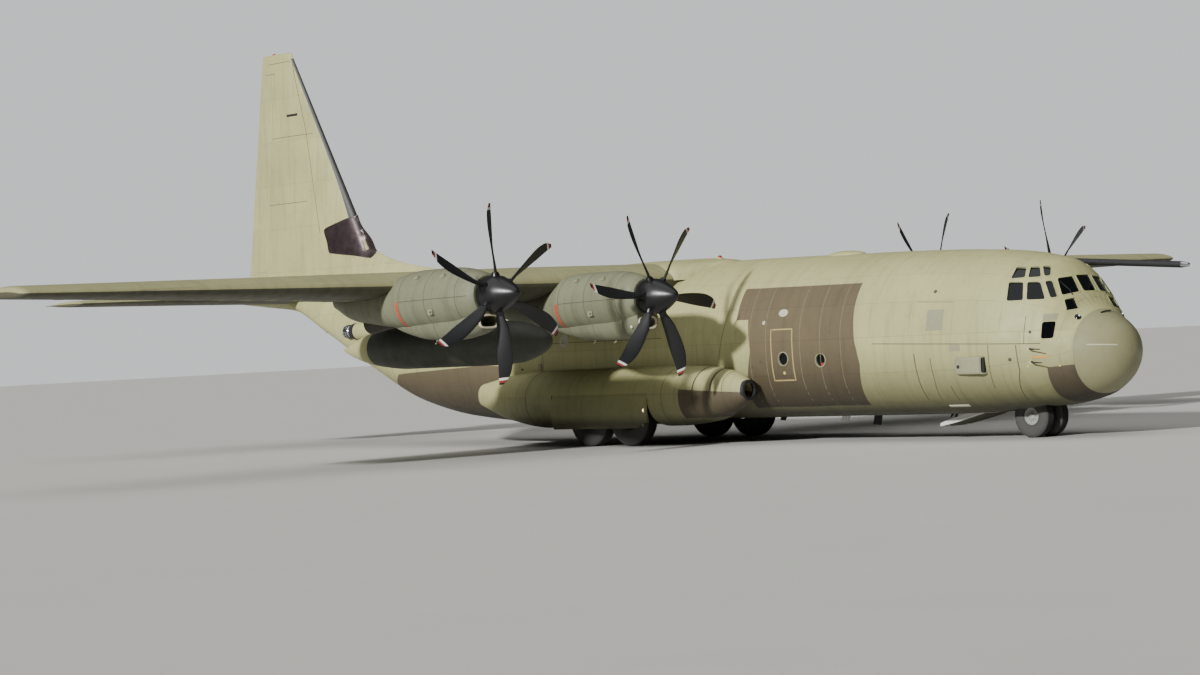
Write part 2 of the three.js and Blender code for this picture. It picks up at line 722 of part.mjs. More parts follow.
// Door that hangs open under the sponson's side: a panel that bulges outwards
const doorPanel = { y: 2880, thickness: 60, bulge: 100, low: 480, high: doorTop - seam, steps: 8 };
const doorSide = (inset) =>
  Array.from({ length: doorPanel.steps + 1 }, (_, i) => {
    const t = i / doorPanel.steps;
    const y = doorPanel.y - inset + doorPanel.bulge * Math.sin(Math.PI * t);
    return [y, lerp(doorPanel.low, doorPanel.high, t)];
  });
const gearDoor = extruded(
  [...doorSide(0), ...doorSide(doorPanel.thickness).reverse()],
  doorSpan.back - 270 - doorSpan.front - running,
  [unit.y, unit.z, unit.x],
  at(doorSpan.back - 270, 0, 0),
);

// Main gear legs: two shock struts side by side on a beam, each with its axle
const legY = 1790;
const hubFace = mainWheel.y - 170;
const mainLegs = joined(
  ...mainWheel.stations.flatMap((s) => [
    bar(at(s, legY, 480), at(s, legY, well.top - seam), 70),
    bar(at(s, legY, mainWheel.radius), at(s, hubFace - seam, mainWheel.radius), 65),
  ]),
  box(mainWheel.stations[0], mainWheel.stations[1], legY - 50, legY + 50, 1480, 1620),
);

// Wheels: hub and tyre profiles of [along the axle, radius]
const wheelSides = 18;
const hubProfile = (half, rim) => [
  [-half, 0],
  [-half, rim * 0.55],
  [-half * 0.5, rim * 0.62],
  [-half * 0.6, rim],
  [half * 0.6, rim],
  [half * 0.5, rim * 0.62],
  [half, rim * 0.55],
  [half, 0],
];
const tyreProfile = ({ width, radius, rim }) => {
  const half = width / 2;
  const inner = rim + seam;
  return [
    [-half * 0.62, inner],
    [-half, lerp(inner, radius, 0.5)],
    [-half * 0.78, radius * 0.965],
    [-half * 0.3, radius],
    [half * 0.3, radius],
    [half * 0.78, radius * 0.965],
    [half, lerp(inner, radius, 0.5)],
    [half * 0.62, inner],
    [-half * 0.62, inner],
  ];
};
const mainHub = turned(hubProfile(170, mainWheel.rim), "y", wheelSides);
const mainTyre = turned(tyreProfile(mainWheel), "y", wheelSides);
const noseTyre = turned(tyreProfile(noseWheel), "y", wheelSides);
const noseRim = turned(hubProfile(110, noseWheel.rim), "y", wheelSides);
const noseAxle = 48;
const axleSides = 24;
const local = (y) => new THREE.Vector3(0, y, 0);
const noseWheels = joined(
  shifted(noseRim, 0, noseWheel.y, 0),
  shifted(noseRim, 0, -noseWheel.y, 0),
  bar(local(-noseWheel.y), local(noseWheel.y), noseAxle, noseAxle, axleSides),
);

// Nose gear: fixed leg up to the flight deck, and the steered part with its axle eye
const steerJointZ = 960;
const noseLeg = joined(
  bar(at(noseWheel.station, 0, steerJointZ), at(noseWheel.station, 0, deckZ - 80 - seam), 95),
  bar(at(noseWheel.station, 0, 1150), at(1950, 0, deckZ - 150), 45),
  box(noseWheel.station - 90, noseWheel.station + 90, -330, 330, 1080, 1180),
);
const noseFork = joined(
  bar(at(noseWheel.station, 0, noseWheel.radius), at(noseWheel.station, 0, steerJointZ - seam), 62),
  bar(at(noseWheel.station, -75, noseWheel.radius), at(noseWheel.station, 75, noseWheel.radius), 95),
).subtract(
  bar(
    at(noseWheel.station, -100, noseWheel.radius),
    at(noseWheel.station, 100, noseWheel.radius),
    noseAxle + 1.5 * seam,
    noseAxle + 1.5 * seam,
    axleSides,
  ),
);

// Engine nacelle about its hub: station, half width, top, middle, bottom, power of the lower curve
const nacelleRows = [
  [10425, 440, 440, 0, -480, 2],
  [10550, 530, 520, -10, -570, 2],
  [11500, 660, 670, -30, -700, 2.1],
  [12600, 660, 665, -50, -700, 2.2],
  [13350, 640, 560, -70, -650, 2.3],
  [15000, 520, 400, -40, -470, 2.2],
  [16000, 160, 210, 60, -120, 2],
];
const chinRows = [
  // the scoop under it, in the same columns
  [10425, 335, -320, -470, -800, 2.6],
  [10700, 370, -320, -520, -900, 2.4],
  [11500, 400, -320, -560, -1000, 2.2],
  [12500, 370, -320, -560, -960, 2],
  [13300, 260, -340, -520, -800, 2],
  [13900, 120, -380, -480, -600, 2],
];
const nacelleSkin = 45;
const exhaust = { from: [12800, -250], to: [14750, -520], radius: 235 };
function nacelle(y, hubZ, wingRoom) {
  const form = (table, inset) =>
    loft(
      table.map(([s, w, top, mid, low, power]) =>
        ring(s, w - inset, hubZ + top - inset, hubZ + mid, hubZ + low + inset, power, y, 16),
      ),
    );
  const both = (inset) => joined(form(nacelleRows, inset), form(chinRows, inset));
  const outer = both(0);
  const inner = both(nacelleSkin).intersect(box(10520, 13000, y - 900, y + 900, 0, 6000));
  const shaftHole = bar(at(10300, y, hubZ), at(10600, y, hubZ), 210, 210, 12);
  const intake = box(10300, 10700, y - 270, y + 270, hubZ - 740, hubZ - 480);
  const pipe = pipeBar(y, hubZ, exhaust.radius + seam, 200);
  return wingRoom.reduce(
    (made, room) => made.subtract(room),
    outer.subtract(inner).subtract(shaftHole).subtract(intake).subtract(pipe),
  );
}
function pipeBar(y, hubZ, radius, extra) {
  const from = at(exhaust.from[0], y, hubZ + exhaust.from[1]);
  const to = at(exhaust.to[0], y, hubZ + exhaust.to[1]);
  const along = to.clone().sub(from).normalize();
  return bar(from, to.addScaledVector(along, extra), radius, radius, 14);
}
const spinnerBack = 300;
function engine(y, hubZ) {
  const shaftEnd = propellerStation + spinnerBack + seam;
  const hollowPipe = pipeBar(y, hubZ, exhaust.radius, 0).subtract(
    bar(
      at(exhaust.to[0] - 700, y, hubZ + exhaust.to[1] + 97),
      at(exhaust.to[0] + 200, y, hubZ + exhaust.to[1] - 28),
      exhaust.radius - 25,
      exhaust.radius - 25,
      14,
    ),
  );
  return joined(
    bar(at(shaftEnd, y, hubZ), at(11000, y, hubZ), 150),
    bar(at(10700, y, hubZ - 60), at(12950, y, hubZ - 160), 365),
    hollowPipe,
  );
}

// Propeller about its hub, spinner forward: radius, chord, thickness, blade angle, backward sweep
const bladeRows = [
  [300, 160, 110, 60, 0],
  [850, 290, 60, 47, -30],
  [1450, 350, 32, 35, -10],
  [1850, 270, 20, 29, 50],
  [propellerRadius, 110, 12, 27, 150],
];
const bladeCount = 6;
const bladeSection = [
  [0.5, 0],
  [0.2, 0.5],
  [-0.5, 0.14],
  [-0.5, -0.14],
  [0.2, -0.5],
];
const blade = loft(
  bladeRows.map(([r, chord, thickness, angle, sweep]) => {
    const [c, s] = [Math.cos(radians(angle)), Math.sin(radians(angle))];
    return bladeSection.map(([u, v]) => {
      const across = u * chord - sweep;
      return new THREE.Vector3(across * s + v * thickness * c, -across * c + v * thickness * s, r);
    });
  }),
);
const spinner = turned(
  [
    [-spinnerBack, 0],
    [-spinnerBack, 410],
    [0, 425],
    [350, 330],
    [620, 170],
    [740, 0],
  ],
  "x",
  16,
);
function propeller(phase) {
  let made = spinner;
  for (let i = 0; i < bladeCount; i++) {
    const turn = radians(phase + (360 * i) / bladeCount);
    made = made.add(changed(blade, new THREE.Matrix4().makeRotationX(turn)));
  }
  return made;
}

// Underwing fuel tank with its pylon: station, radius
const tankY = 7600;
const tankZ = 2790;
const tankRows = [
  [11050, 0],
  [11150, 170],
  [11500, 340],
  [12200, 500],
  [13200, 535],
  [16300, 535],
  [17500, 430],
  [18400, 210],
  [18890, 30],
];
const tank = joined(
  loft(tankRows.map(([s, r]) => ring(s, r, tankZ + r, tankZ, tankZ - r, 2, tankY, 14))),
  sidePlate(
    [
      [13100, tankZ + 400],
      [13500, 4200],
      [15900, 4200],
      [16200, tankZ + 400],
    ],
    tankY - 70,
    tankY + 70,
  ),
).subtract(wingOuterRoom);

// Refuelling probe over the port side of the cockpit roof
const probeY = 900;
const probe = joined(
  bar(at(-970, probeY, 3770), at(-780, probeY, 3780), 45, 75),
  bar(at(-790, probeY, 3780), at(2100, probeY, 4000), 75),
  bar(at(2050, probeY, 4000), at(4600, probeY, 4120), 75, 110),
).subtract(hullRoom);

// Scene graph
const plane = new THREE.Group();
function piece(name, made, look, { place = new THREE.Vector3(), mirror = false } = {}) {
  const geometry = geometryOf(made);
  geometry.computeVertexNormals();
  const mesh = new THREE.Mesh(geometry, new THREE.MeshStandardMaterial(finishes[look]));
  mesh.name = name;
  mesh.position.copy(place);
  if (mirror) {
    mesh.scale.y = -1;
    mesh.position.y = -place.y;
  }
  plane.add(mesh);
}
function pair(name, made, look, place) {
  piece(name + "_left", made, look, { place });
  piece(name + "_right", made, look, { place, mirror: true });
}

piece("radome", radome, "radome");
piece("fuselage_forward", forward, "green");
piece("fuselage_centre", centre, "green");
piece("fuselage_aft", aftWithPods, "green");
piece("cargo_floor", cargoFloor, "floor");
piece("flight_deck", flightDeck, "floor");
piece("cockpit_glazing", glazing, "glass");
piece("crew_door", crewDoorSolid, "green");
piece("cargo_ramp", rampSolid, "green");
piece("cargo_door", cargoDoorSolid, "green");
pair("paratroop_door", troopDoorSolid, "green");
pair("sponson", sponson, "green");
pair("main_gear_door", gearDoor, "green");
pair("main_gear_legs", mainLegs, "white");
piece("wing_centre", wingCentre, "green");
pair("wing_outer", wingPort, "green");
pair("flap_inner", innerFlap.surface, "green");
pair("flap_outer", outerFlap.surface, "green");
pair("aileron", aileronCut.surface, "green");
pair("fuel_tank", tank, "green");
piece("fin", finSolid, "green");
piece("rudder", rudderSolid, "green");
piece("tailplane", tailplane, "green");
pair("elevator", elevatorCut.surface, "green");
piece("refuelling_probe", probe, "black");
piece("nose_gear_leg", noseLeg, "white");
piece("nose_gear_fork", noseFork, "metal");
const noseWheelAt = at(noseWheel.station, 0, noseWheel.radius);
piece("nose_wheel_rims", noseWheels, "metal", { place: noseWheelAt });
pair("nose_tyre", noseTyre, "rubber", noseWheelAt.clone().add(local(noseWheel.y)));
mainWheel.stations.forEach((station, i) => {
  const name = ["front", "rear"][i];
  const place = at(station, mainWheel.y, mainWheel.radius);
  pair("main_hub_" + name, mainHub, "metal", place);
  pair("main_tyre_" + name, mainTyre, "rubber", place);
});

// Engines are numbered from the port wing tip: side of the aircraft, which of the pair, blade angle at rest
const engines = [
  [1, 1, "outer", 12],
  [2, 1, "inner", 40],
  [3, -1, "inner", 25],
  [4, -1, "outer", 5],
];
for (const [number, side, which, phase] of engines) {
  const y = side * engineYs[which];
  const hubZ = hubZs[which];
  const rooms = [wingMiddleRoom, side > 0 ? wingOuterRoom : mirrored(wingOuterRoom)];
  piece("nacelle_" + number, nacelle(y, hubZ, rooms), "green");
  piece("engine_" + number, engine(y, hubZ), "metal");
  piece("propeller_" + number, propeller(phase), "black", { place: at(propellerStation, y, hubZ) });
}

plane.scale.setScalar(modelScale);

export default plane;
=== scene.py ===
# Military transport plane: the looks of the half-size model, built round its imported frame.
# Tables hold the full-size aircraft's millimetres:
# stations run aft from the radome's tip, y is to port, z is up.
import math
import bpy
import numpy as np
from mathutils import Matrix, Vector


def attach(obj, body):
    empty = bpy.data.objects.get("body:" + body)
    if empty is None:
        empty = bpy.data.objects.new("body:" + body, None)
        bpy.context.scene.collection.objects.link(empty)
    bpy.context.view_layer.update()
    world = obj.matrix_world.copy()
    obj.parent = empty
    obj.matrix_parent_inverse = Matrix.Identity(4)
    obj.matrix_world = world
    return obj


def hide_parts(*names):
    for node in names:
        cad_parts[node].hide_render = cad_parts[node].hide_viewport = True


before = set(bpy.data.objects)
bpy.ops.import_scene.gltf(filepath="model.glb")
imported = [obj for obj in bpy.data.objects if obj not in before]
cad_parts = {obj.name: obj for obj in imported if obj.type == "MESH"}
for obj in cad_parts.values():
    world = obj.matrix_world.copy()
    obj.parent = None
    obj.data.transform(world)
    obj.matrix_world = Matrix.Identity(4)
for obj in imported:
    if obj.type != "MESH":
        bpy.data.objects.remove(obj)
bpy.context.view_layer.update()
print("frame loaded")

plane = {"scale": 0.0005, "noseStation": 16700}
k = plane["scale"]
mirrorY = Matrix.Scale(-1, 4, (0, 1, 0))
aft, up, port = Vector((-1, 0, 0)), Vector((0, 0, 1)), Vector((0, 1, 0))
bothSides = (-1, 1)
namedSides = (("left", 1), ("right", -1))


def at(station, y, z):
    return Vector(((plane["noseStation"] - station) * k, y * k, z * k))


def mix(a, b, t):
    return a + (b - a) * t


def spread(a, b, count):  # evenly spaced from a to b, both included
    return [mix(a, b, i / count) for i in range(count + 1)]


def turns(count):  # angles once round
    return [2 * math.pi * i / count for i in range(count)]


def pairsOf(items):  # each item with the next, and the last with the first
    return list(zip(items, items[1:] + items[:1]))


# A piece's points and faces, gathered form by form; radii and profiles in millimetres, places in metres
class Shape:
    def __init__(self):
        self.points, self.faces, self.slots = [], [], []

    def add(self, points, faces, slot=0):  # one closed form, turned to face outwards
        points = [Vector(p) for p in points]
        middle = sum(points, Vector()) / len(points)
        volume = 0.0
        for face in faces:
            first = points[face[0]] - middle
            for a, b in zip(face[1:], face[2:]):
                volume += first.dot((points[a] - middle).cross(points[b] - middle))
        if volume < 0:
            faces = [tuple(reversed(face)) for face in faces]
        start = len(self.points)
        self.points += points
        self.faces += [tuple(start + i for i in face) for face in faces]
        self.slots += [slot] * len(faces) if isinstance(slot, int) else list(slot)
        return self

    def loft(self, rings, slot=0, wrap=False):  # rings of equal length, in order
        count, rows = len(rings[0]), len(rings)
        faces, slots = [], []
        for r in range(rows if wrap else rows - 1):
            low, high = r * count, (r + 1) % rows * count
            for i in range(count):
                j = (i + 1) % count
                faces.append((low + i, low + j, high + j, high + i))
                slots.append(slot(r, i) if callable(slot) else slot)
        if not wrap:
            faces += [tuple(range(count - 1, -1, -1)), tuple(range((rows - 1) * count, rows * count))]
            slots += [slots[0], slots[-1]]
        return self.add([p for ring in rings for p in ring], faces, slots)

    def lathe(self, profile, origin, axis, sides=40, slot=0):  # profile: distance along the axis, radius
        axis = Vector(axis).normalized()
        side = axis.orthogonal().normalized()
        other = axis.cross(side)
        closed = profile[0] == profile[-1]
        points, faces, slots, rings = [], [], [], []
        for along, radius in (profile[:-1] if closed else profile):
            angles = turns(sides if radius else 1)
            rings.append(range(len(points), len(points) + len(angles)))
            foot = Vector(origin) + axis * (along * k)
            points += [foot + (side * math.cos(a) + other * math.sin(a)) * (radius * k) for a in angles]
        joined = pairsOf(rings) if closed else list(zip(rings, rings[1:]))
        for number, (first, second) in enumerate(joined):
            for i in range(sides if len(first) + len(second) > 2 else 0):
                j = (i + 1) % sides
                if len(first) == 1:
                    faces.append((first[0], second[j], second[i]))
                elif len(second) == 1:
                    faces.append((first[i], first[j], second[0]))
                else:
                    faces.append((first[i], first[j], second[j], second[i]))
                slots.append(slot if isinstance(slot, int) else slot[number])
        return self.add(points, faces, slots)

    def rod(self, start, end, radius, endRadius=None, sides=16, slot=0):
        axis = Vector(end) - Vector(start)
        length = axis.length / k
        profile = [(0, 0), (0, radius), (length, radius if endRadius is None else endRadius), (length, 0)]
        return self.lathe(profile, start, axis, sides, slot)

    def ball(self, centre, radii, sides=28, rows=14, slot=0):
        profile = [(-math.cos(math.pi * i / rows), math.sin(math.pi * i / rows)) for i in range(1, rows)]
        unit = Shape().lathe([(-1, 0)] + profile + [(1, 0)], (0, 0, 0), (1, 0, 0), sides, slot)
        return self.join(unit, Matrix.Translation(centre) @ Matrix.Diagonal((*radii, 1)))

    def pipe(self, path, radius, sides=10, slot=0):  # round bar along a path of points
        rings = []
        side = None
        for i, point in enumerate(path):
            ahead = (path[min(i + 1, len(path) - 1)] - path[max(i - 1, 0)]).normalized()
            side = ahead.orthogonal() if side is None else side - ahead * side.dot(ahead)
            side.normalize()
            size = (radius if isinstance(radius, (int, float)) else radius[i]) * k
            rings.append([point + (side * math.cos(a) + ahead.cross(side) * math.sin(a)) * size
                          for a in turns(sides)])
        return self.loft(rings, slot)

    def block(self, s0, s1, y0, y1, z0, z1, slot=0):
        corners = ((y0, z0), (y1, z0), (y1, z1), (y0, z1))
        return self.loft([[at(s, y, z) for y, z in corners] for s in (s0, s1)], slot)

    def plate(self, outline, low, high, slot=0):  # outline given at one side, moved from low to high
        return self.loft([[p + Vector(move) for p in outline] for move in (low, high)], slot)

    def join(self, other, matrix=Matrix()):
        start = len(self.points)
        turned = matrix.determinant() < 0
        self.points += [matrix @ p for p in other.points]
        for face in other.faces:
            face = tuple(start + i for i in face)
            self.faces.append(tuple(reversed(face)) if turned else face)
        self.slots += other.slots
        return self

    def mirrored(self):
        return Shape().join(self, mirrorY)

    def both(self):
        return Shape().join(self).join(self.mirrored())

    def mesh(self, name):
        made = bpy.data.meshes.new(name)
        made.from_pydata([tuple(p) for p in self.points], [], self.faces)
        made.polygons.foreach_set("material_index", self.slots)
        made.update()
        return made


def boxForm(*sizes):
    return Shape().block(*sizes)


def sideForm(outline, y0, y1):  # outline: station, z
    return Shape().plate([at(s, 0, z) for s, z in outline], port * (y0 * k), port * (y1 * k))


def planForm(outline, z0, z1):  # outline: station, y
    return Shape().plate([at(s, y, 0) for s, y in outline], up * (z0 * k), up * (z1 * k))


def panelForm(s0, s1, half0, half1, z0, z1):
    return planForm([(s0, -half0), (s1, -half1), (s1, half1), (s0, half0)], z0, z1)


def crossBar(station, z, reach, radius, sides=16):  # round bar from side to side
    return Shape().rod(at(station, -reach, z), at(station, reach, z), radius, sides=sides)


def sheet(grid, slot=0):  # closed sheet; grid: rows of (upper point, lower point)
    width, rows = len(grid[0]), len(grid)
    total, last = width * rows, width * (rows - 1)
    faces = []
    for a in [r * width + c for r in range(rows - 1) for c in range(width - 1)]:
        b = a + width
        faces += [(a, a + 1, b + 1, b), (total + a, total + b, total + b + 1, total + a + 1)]
    rim = [*range(width), *range(2 * width - 1, total, width), *range(total - 2, last - 1, -1),
           *range(last - width, 0, -width)]
    faces += [(b, a, total + a, total + b) for a, b in pairsOf(rim)]
    return Shape().add([pair[i] for i in (0, 1) for row in grid for pair in row], faces, slot)


def linked(name, mesh):
    made = bpy.data.objects.new(name, mesh)
    bpy.context.scene.collection.objects.link(made)
    return made


def solid(name, *rings):
    return linked(name, Shape().loft(*rings).mesh(name))


def applied(piece):  # modifiers turned into plain mesh
    graph = bpy.context.evaluated_depsgraph_get()
    mesh = bpy.data.meshes.new_from_object(piece.evaluated_get(graph))
    piece.modifiers.clear()
    piece.data = mesh
    return piece


def carve(piece, *forms, operation="DIFFERENCE"):
    for form in forms:
        tool = linked("tool", form.mesh("tool"))
        cutter = piece.modifiers.new("carve", "BOOLEAN")
        cutter.operation = operation
        cutter.object = tool
        cutter.solver = "MANIFOLD"
        applied(piece)
        bpy.data.objects.remove(tool)
    return piece


def mirroredCopy(piece):
    mesh = piece.data.copy()
    mesh.transform(mirrorY)
    mesh.flip_normals()
    return linked(piece.name, mesh)


def makePiece(name, form, materials, body="airframe", slot="skin_paint", node=None, sharp=35, bevel=0.0,
              tops=False):
    piece = linked(name, form.mesh(name)) if isinstance(form, Shape) else form
    if bevel:
        edge = piece.modifiers.new("edge", "BEVEL")
        edge.width = bevel
        edge.segments = 2
        edge.limit_method = "ANGLE"
        edge.angle_limit = math.radians(50)
        applied(piece)
    piece.name = piece.data.name = name
    mesh = piece.data
    # With tops, faces that point up take the second material and the rest the first; the wing uses this for an
    # underside darkened as painted shade
    slots = [face.normal.z > 0.1 if tops else face.material_index for face in mesh.polygons]
    mesh.materials.clear()
    for material in materials:
        mesh.materials.append(material)
    mesh.polygons.foreach_set("material_index", [int(number) for number in slots])
    mesh.polygons.foreach_set("use_smooth", [True] * len(mesh.polygons))
    mesh.set_sharp_from_angle(angle=math.radians(sharp))
    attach(piece, body)
    if node:
        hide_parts(node)
    return piece


def makeSides(name, form, materials, body="airframe", node=None, **settings):  # the port form and its mirror
    other = form.mirrored() if isinstance(form, Shape) else mirroredCopy(form)
    for (side, _), shape in zip(namedSides, (form, other)):
        makePiece(name + side.title(), shape, materials, body.format(side), node=node and node.format(side),
                  **settings)


# One node with its settings, and its inputs by number or name: a value, a socket, or a node's first output
def addNode(tree, kind, inputs=(), **settings):
    made = tree.nodes.new(kind if "Node" in kind else "ShaderNode" + kind)
    for key, value in settings.items():
        setattr(made, key, value)
    for key, value in inputs.items() if isinstance(inputs, dict) else enumerate(inputs):
        if isinstance(value, bpy.types.Node):
            value = value.outputs[0]
        if isinstance(value, bpy.types.NodeSocket):
            tree.links.new(value, made.inputs[key])
        else:
            made.inputs[key].default_value = value
    return made


# Geometry Nodes: a part repeated along a line, and studs set on spots that point outwards
def nodeTree(name, sockets):
    tree = bpy.data.node_groups.new(name, "GeometryNodeTree")
    tree.is_modifier = True
    for label, kind in [("Geometry", "Geometry")] + sockets:
        tree.interface.new_socket(label, in_out="INPUT", socket_type="NodeSocket" + kind)
    tree.interface.new_socket("Geometry", in_out="OUTPUT", socket_type="NodeSocketGeometry")
    return tree, addNode(tree, "NodeGroupInput").outputs


def placeOn(name, mesh, tree, placing, values, body, material, slot):
    placed = addNode(tree, "GeometryNodeInstanceOnPoints", placing)
    whole = addNode(tree, "GeometryNodeRealizeInstances", [placed])
    dressed = addNode(tree, "GeometryNodeSetMaterial", {"Geometry": whole, "Material": material})
    addNode(tree, "NodeGroupOutput", [dressed])
    piece = linked(name, mesh)
    modifier = piece.modifiers.new(name, "NODES")
    modifier.node_group = tree
    for socket in tree.interface.items_tree:
        if socket.in_out == "INPUT" and socket.name in values:
            modifier[socket.identifier] = values[socket.name]
    return makePiece(name, applied(piece), [material], body, slot)


def studs(name, spots, radius, height, body, material, slot, sides=8):  # spots: place and outward direction
    mesh = bpy.data.meshes.new(name)
    mesh.from_pydata([tuple(place) for place, _ in spots], [], [])
    toward = mesh.attributes.new("toward", "FLOAT_VECTOR", "POINT")
    toward.data.foreach_set("vector", [c for _, direction in spots for c in direction])
    tree, inputs = nodeTree(name, [("Radius", "Float"), ("Height", "Float"), ("Sides", "Int")])
    stud = addNode(tree, "GeometryNodeMeshCylinder", {
        "Vertices": inputs["Sides"], "Radius": inputs["Radius"], "Depth": inputs["Height"],
    })
    direction = addNode(tree, "GeometryNodeInputNamedAttribute", {"Name": "toward"}, data_type="FLOAT_VECTOR")
    turn = addNode(tree, "FunctionNodeAlignRotationToVector", {"Vector": direction}, axis="Z")
    placeOn(name, mesh, tree, {"Points": inputs["Geometry"], "Instance": stud, "Rotation": turn},
            {"Radius": radius * k, "Height": height * k, "Sides": sides}, body, material, slot)


def along(name, shape, step, count, material, slot):  # the same shape again and again, step by step aft
    part = linked(name + "Part", shape.mesh(name + "Part"))
    tree, inputs = nodeTree(name, [("Part", "Object"), ("Count", "Int"), ("Step", "Vector")])
    source = addNode(tree, "GeometryNodeObjectInfo", {"Object": inputs["Part"]})
    line = addNode(tree, "GeometryNodeMeshLine", {"Count": inputs["Count"], "Offset": inputs["Step"]},
                   mode="OFFSET")
    placeOn(name, bpy.data.meshes.new(name), tree, {"Points": line, "Instance": source.outputs["Geometry"]},
            {"Part": part, "Count": count, "Step": tuple(aft * (step * k))}, "airframe", material, slot)
    bpy.data.objects.remove(part)


# Smooth curve through table points that never swings past them
def curveThrough(xs, ys):
    xs, ys = np.array(xs, float), np.array(ys, float)
    step, slope = np.diff(xs), np.diff(ys) / np.diff(xs)
    tangent = np.zeros(len(xs))
    tangent[0], tangent[-1] = slope[0], slope[-1]
    for i in range(1, len(xs) - 1):
        if slope[i - 1] * slope[i] > 0:
            a, b = 2 * step[i] + step[i - 1], step[i] + 2 * step[i - 1]
            tangent[i] = (a + b) / (a / slope[i - 1] + b / slope[i])

    def value(x):
        x = np.clip(np.asarray(x, float), xs[0], xs[-1])
        i = np.clip(np.searchsorted(xs, x) - 1, 0, len(step) - 1)
        t = (x - xs[i]) / step[i]
        a = ys[i] * (1 + 2 * t) * (1 - t) ** 2 + tangent[i] * step[i] * t * (1 - t) ** 2
        return a + ys[i + 1] * t * t * (3 - 2 * t) - tangent[i + 1] * step[i] * t * t * (1 - t)

    return value


def rowCurves(rows):  # all columns of a table as curves over its first one
    columns = list(zip(*rows))
    curves = [curveThrough(columns[0], column) for column in columns[1:]]
    return lambda x: [float(curve(x)) for curve in curves]


def superPoint(s, section, angle, grow=0, upPower=2):  # section: y, z, half width, up, down, power below
    y, z, wide, high, low, power = section
    c, n = math.cos(angle), math.sin(angle)
    e = 2 / (upPower if n >= 0 else power)
    c, n = [math.copysign(abs(v) ** e, v) for v in (c, n)]
    return at(s, y + (wide + grow) * c, z + ((high if n >= 0 else low) + grow) * n)


def superRing(s, section, sides, grow=0, upPower=2):
    return [superPoint(s, section, angle, grow, upPower) for angle in turns(sides)]


def bandRings(sectionAt, station, width, angles, rise, sink):  # a strip laid round a body
    edges = [(station + e * width / 2, grow) for e, grow in ((-1, -sink), (-1, rise), (1, rise), (1, -sink))]
    return [[superPoint(s, sectionAt(s), angle, grow) for s, grow in edges] for angle in angles]

# Materials
def fromHex(code):
    parts = [int(code[i:i + 2], 16) / 255 for i in (1, 3, 5)]
    return tuple(c / 12.92 if c <= 0.04045 else ((c + 0.055) / 1.055) ** 2.4 for c in parts) + (1.0,)


def shade(hexColour, factor):
    return tuple(min(1.0, c * factor) for c in fromHex(hexColour)[:3]) + (1.0,)


def newMaterial(name, hexColour, settings):
    made = bpy.data.materials.new(name)
    made.use_nodes = True
    made.diffuse_color = fromHex(hexColour)
    shader = made.node_tree.nodes["Principled BSDF"]
    shader.inputs["Base Color"].default_value = fromHex(hexColour)
    for key, value in settings.items():
        shader.inputs[key.replace("_", " ")].default_value = value
    return made, made.node_tree


def joinShader(tree, outputs):
    for key, output in outputs.items():
        tree.links.new(output, tree.nodes["Principled BSDF"].inputs[key])


# Matt polyurethane paint, sprayed over riveted sheet:
# dull, chalky, with faint panels, soft dents and dirt streaks
paintWork = {
    "lineWidth": 0.0028,  # real gaps are under 1 mm; drawn as wide as they need to show from a few metres
    "lineTone": 0.26,
    "panelLength": 0.62,
    "panelHeight": 0.41,
    "dent": 0.31,  # frame spacing, between which the skin sags a little
    "edgeSoftness": 0.003,  # of sprayed camouflage
    "edgeWobble": 0.02,
    "streaks": {"flat": (9.0, 0.7, 1.0), "body": (11.0, 0.9, 1.0)},  # they run aft on a wing, down on a body
    "noises": {"cloud": (1.1, 6.0, 0.6), "blotch": (7.0, 5.0, 0.65), "grain": (160.0, 2.0, 0.5)},
    "brown": "#5b503a",
}


def areaMask(tree, where, areas, fromAbove):  # 1 inside any of the convex outlines, seen from the side or above
    noise = addNode(tree, "TexNoise", {"Vector": where, "Scale": 1.7, "Detail": 3.0}).outputs["Color"]
    moved = addNode(tree, "VectorMath", [noise, (-0.5,) * 3], operation="ADD")
    placed = addNode(tree, "VectorMath", [moved, (paintWork["edgeWobble"],) * 3, where],
                     operation="MULTIPLY_ADD")
    best = None
    for outline in areas:
        flat = [at(a, b, b).xy for a, b in outline]
        outward = -1 if sum(a.cross(b) for a, b in pairsOf(flat)) > 0 else 1
        inside = None
        for a, b in pairsOf(flat):
            edge = Vector((b.y - a.y, a.x - b.x)).normalized() * outward
            normal = (edge.x, edge.y, 0) if fromAbove else (edge.x, 0, edge.y)
            reach = addNode(tree, "VectorMath", [placed, normal], operation="DOT_PRODUCT").outputs[1]
            away = addNode(tree, "Math", [reach, edge.dot(a)], operation="SUBTRACT")
            inside = addNode(tree, "Math", [inside, away], operation="MINIMUM") if inside else away
        best = addNode(tree, "Math", [best, inside], operation="MAXIMUM") if best else inside
    soft = paintWork["edgeSoftness"]
    return addNode(tree, "MapRange", [best, -soft, soft])


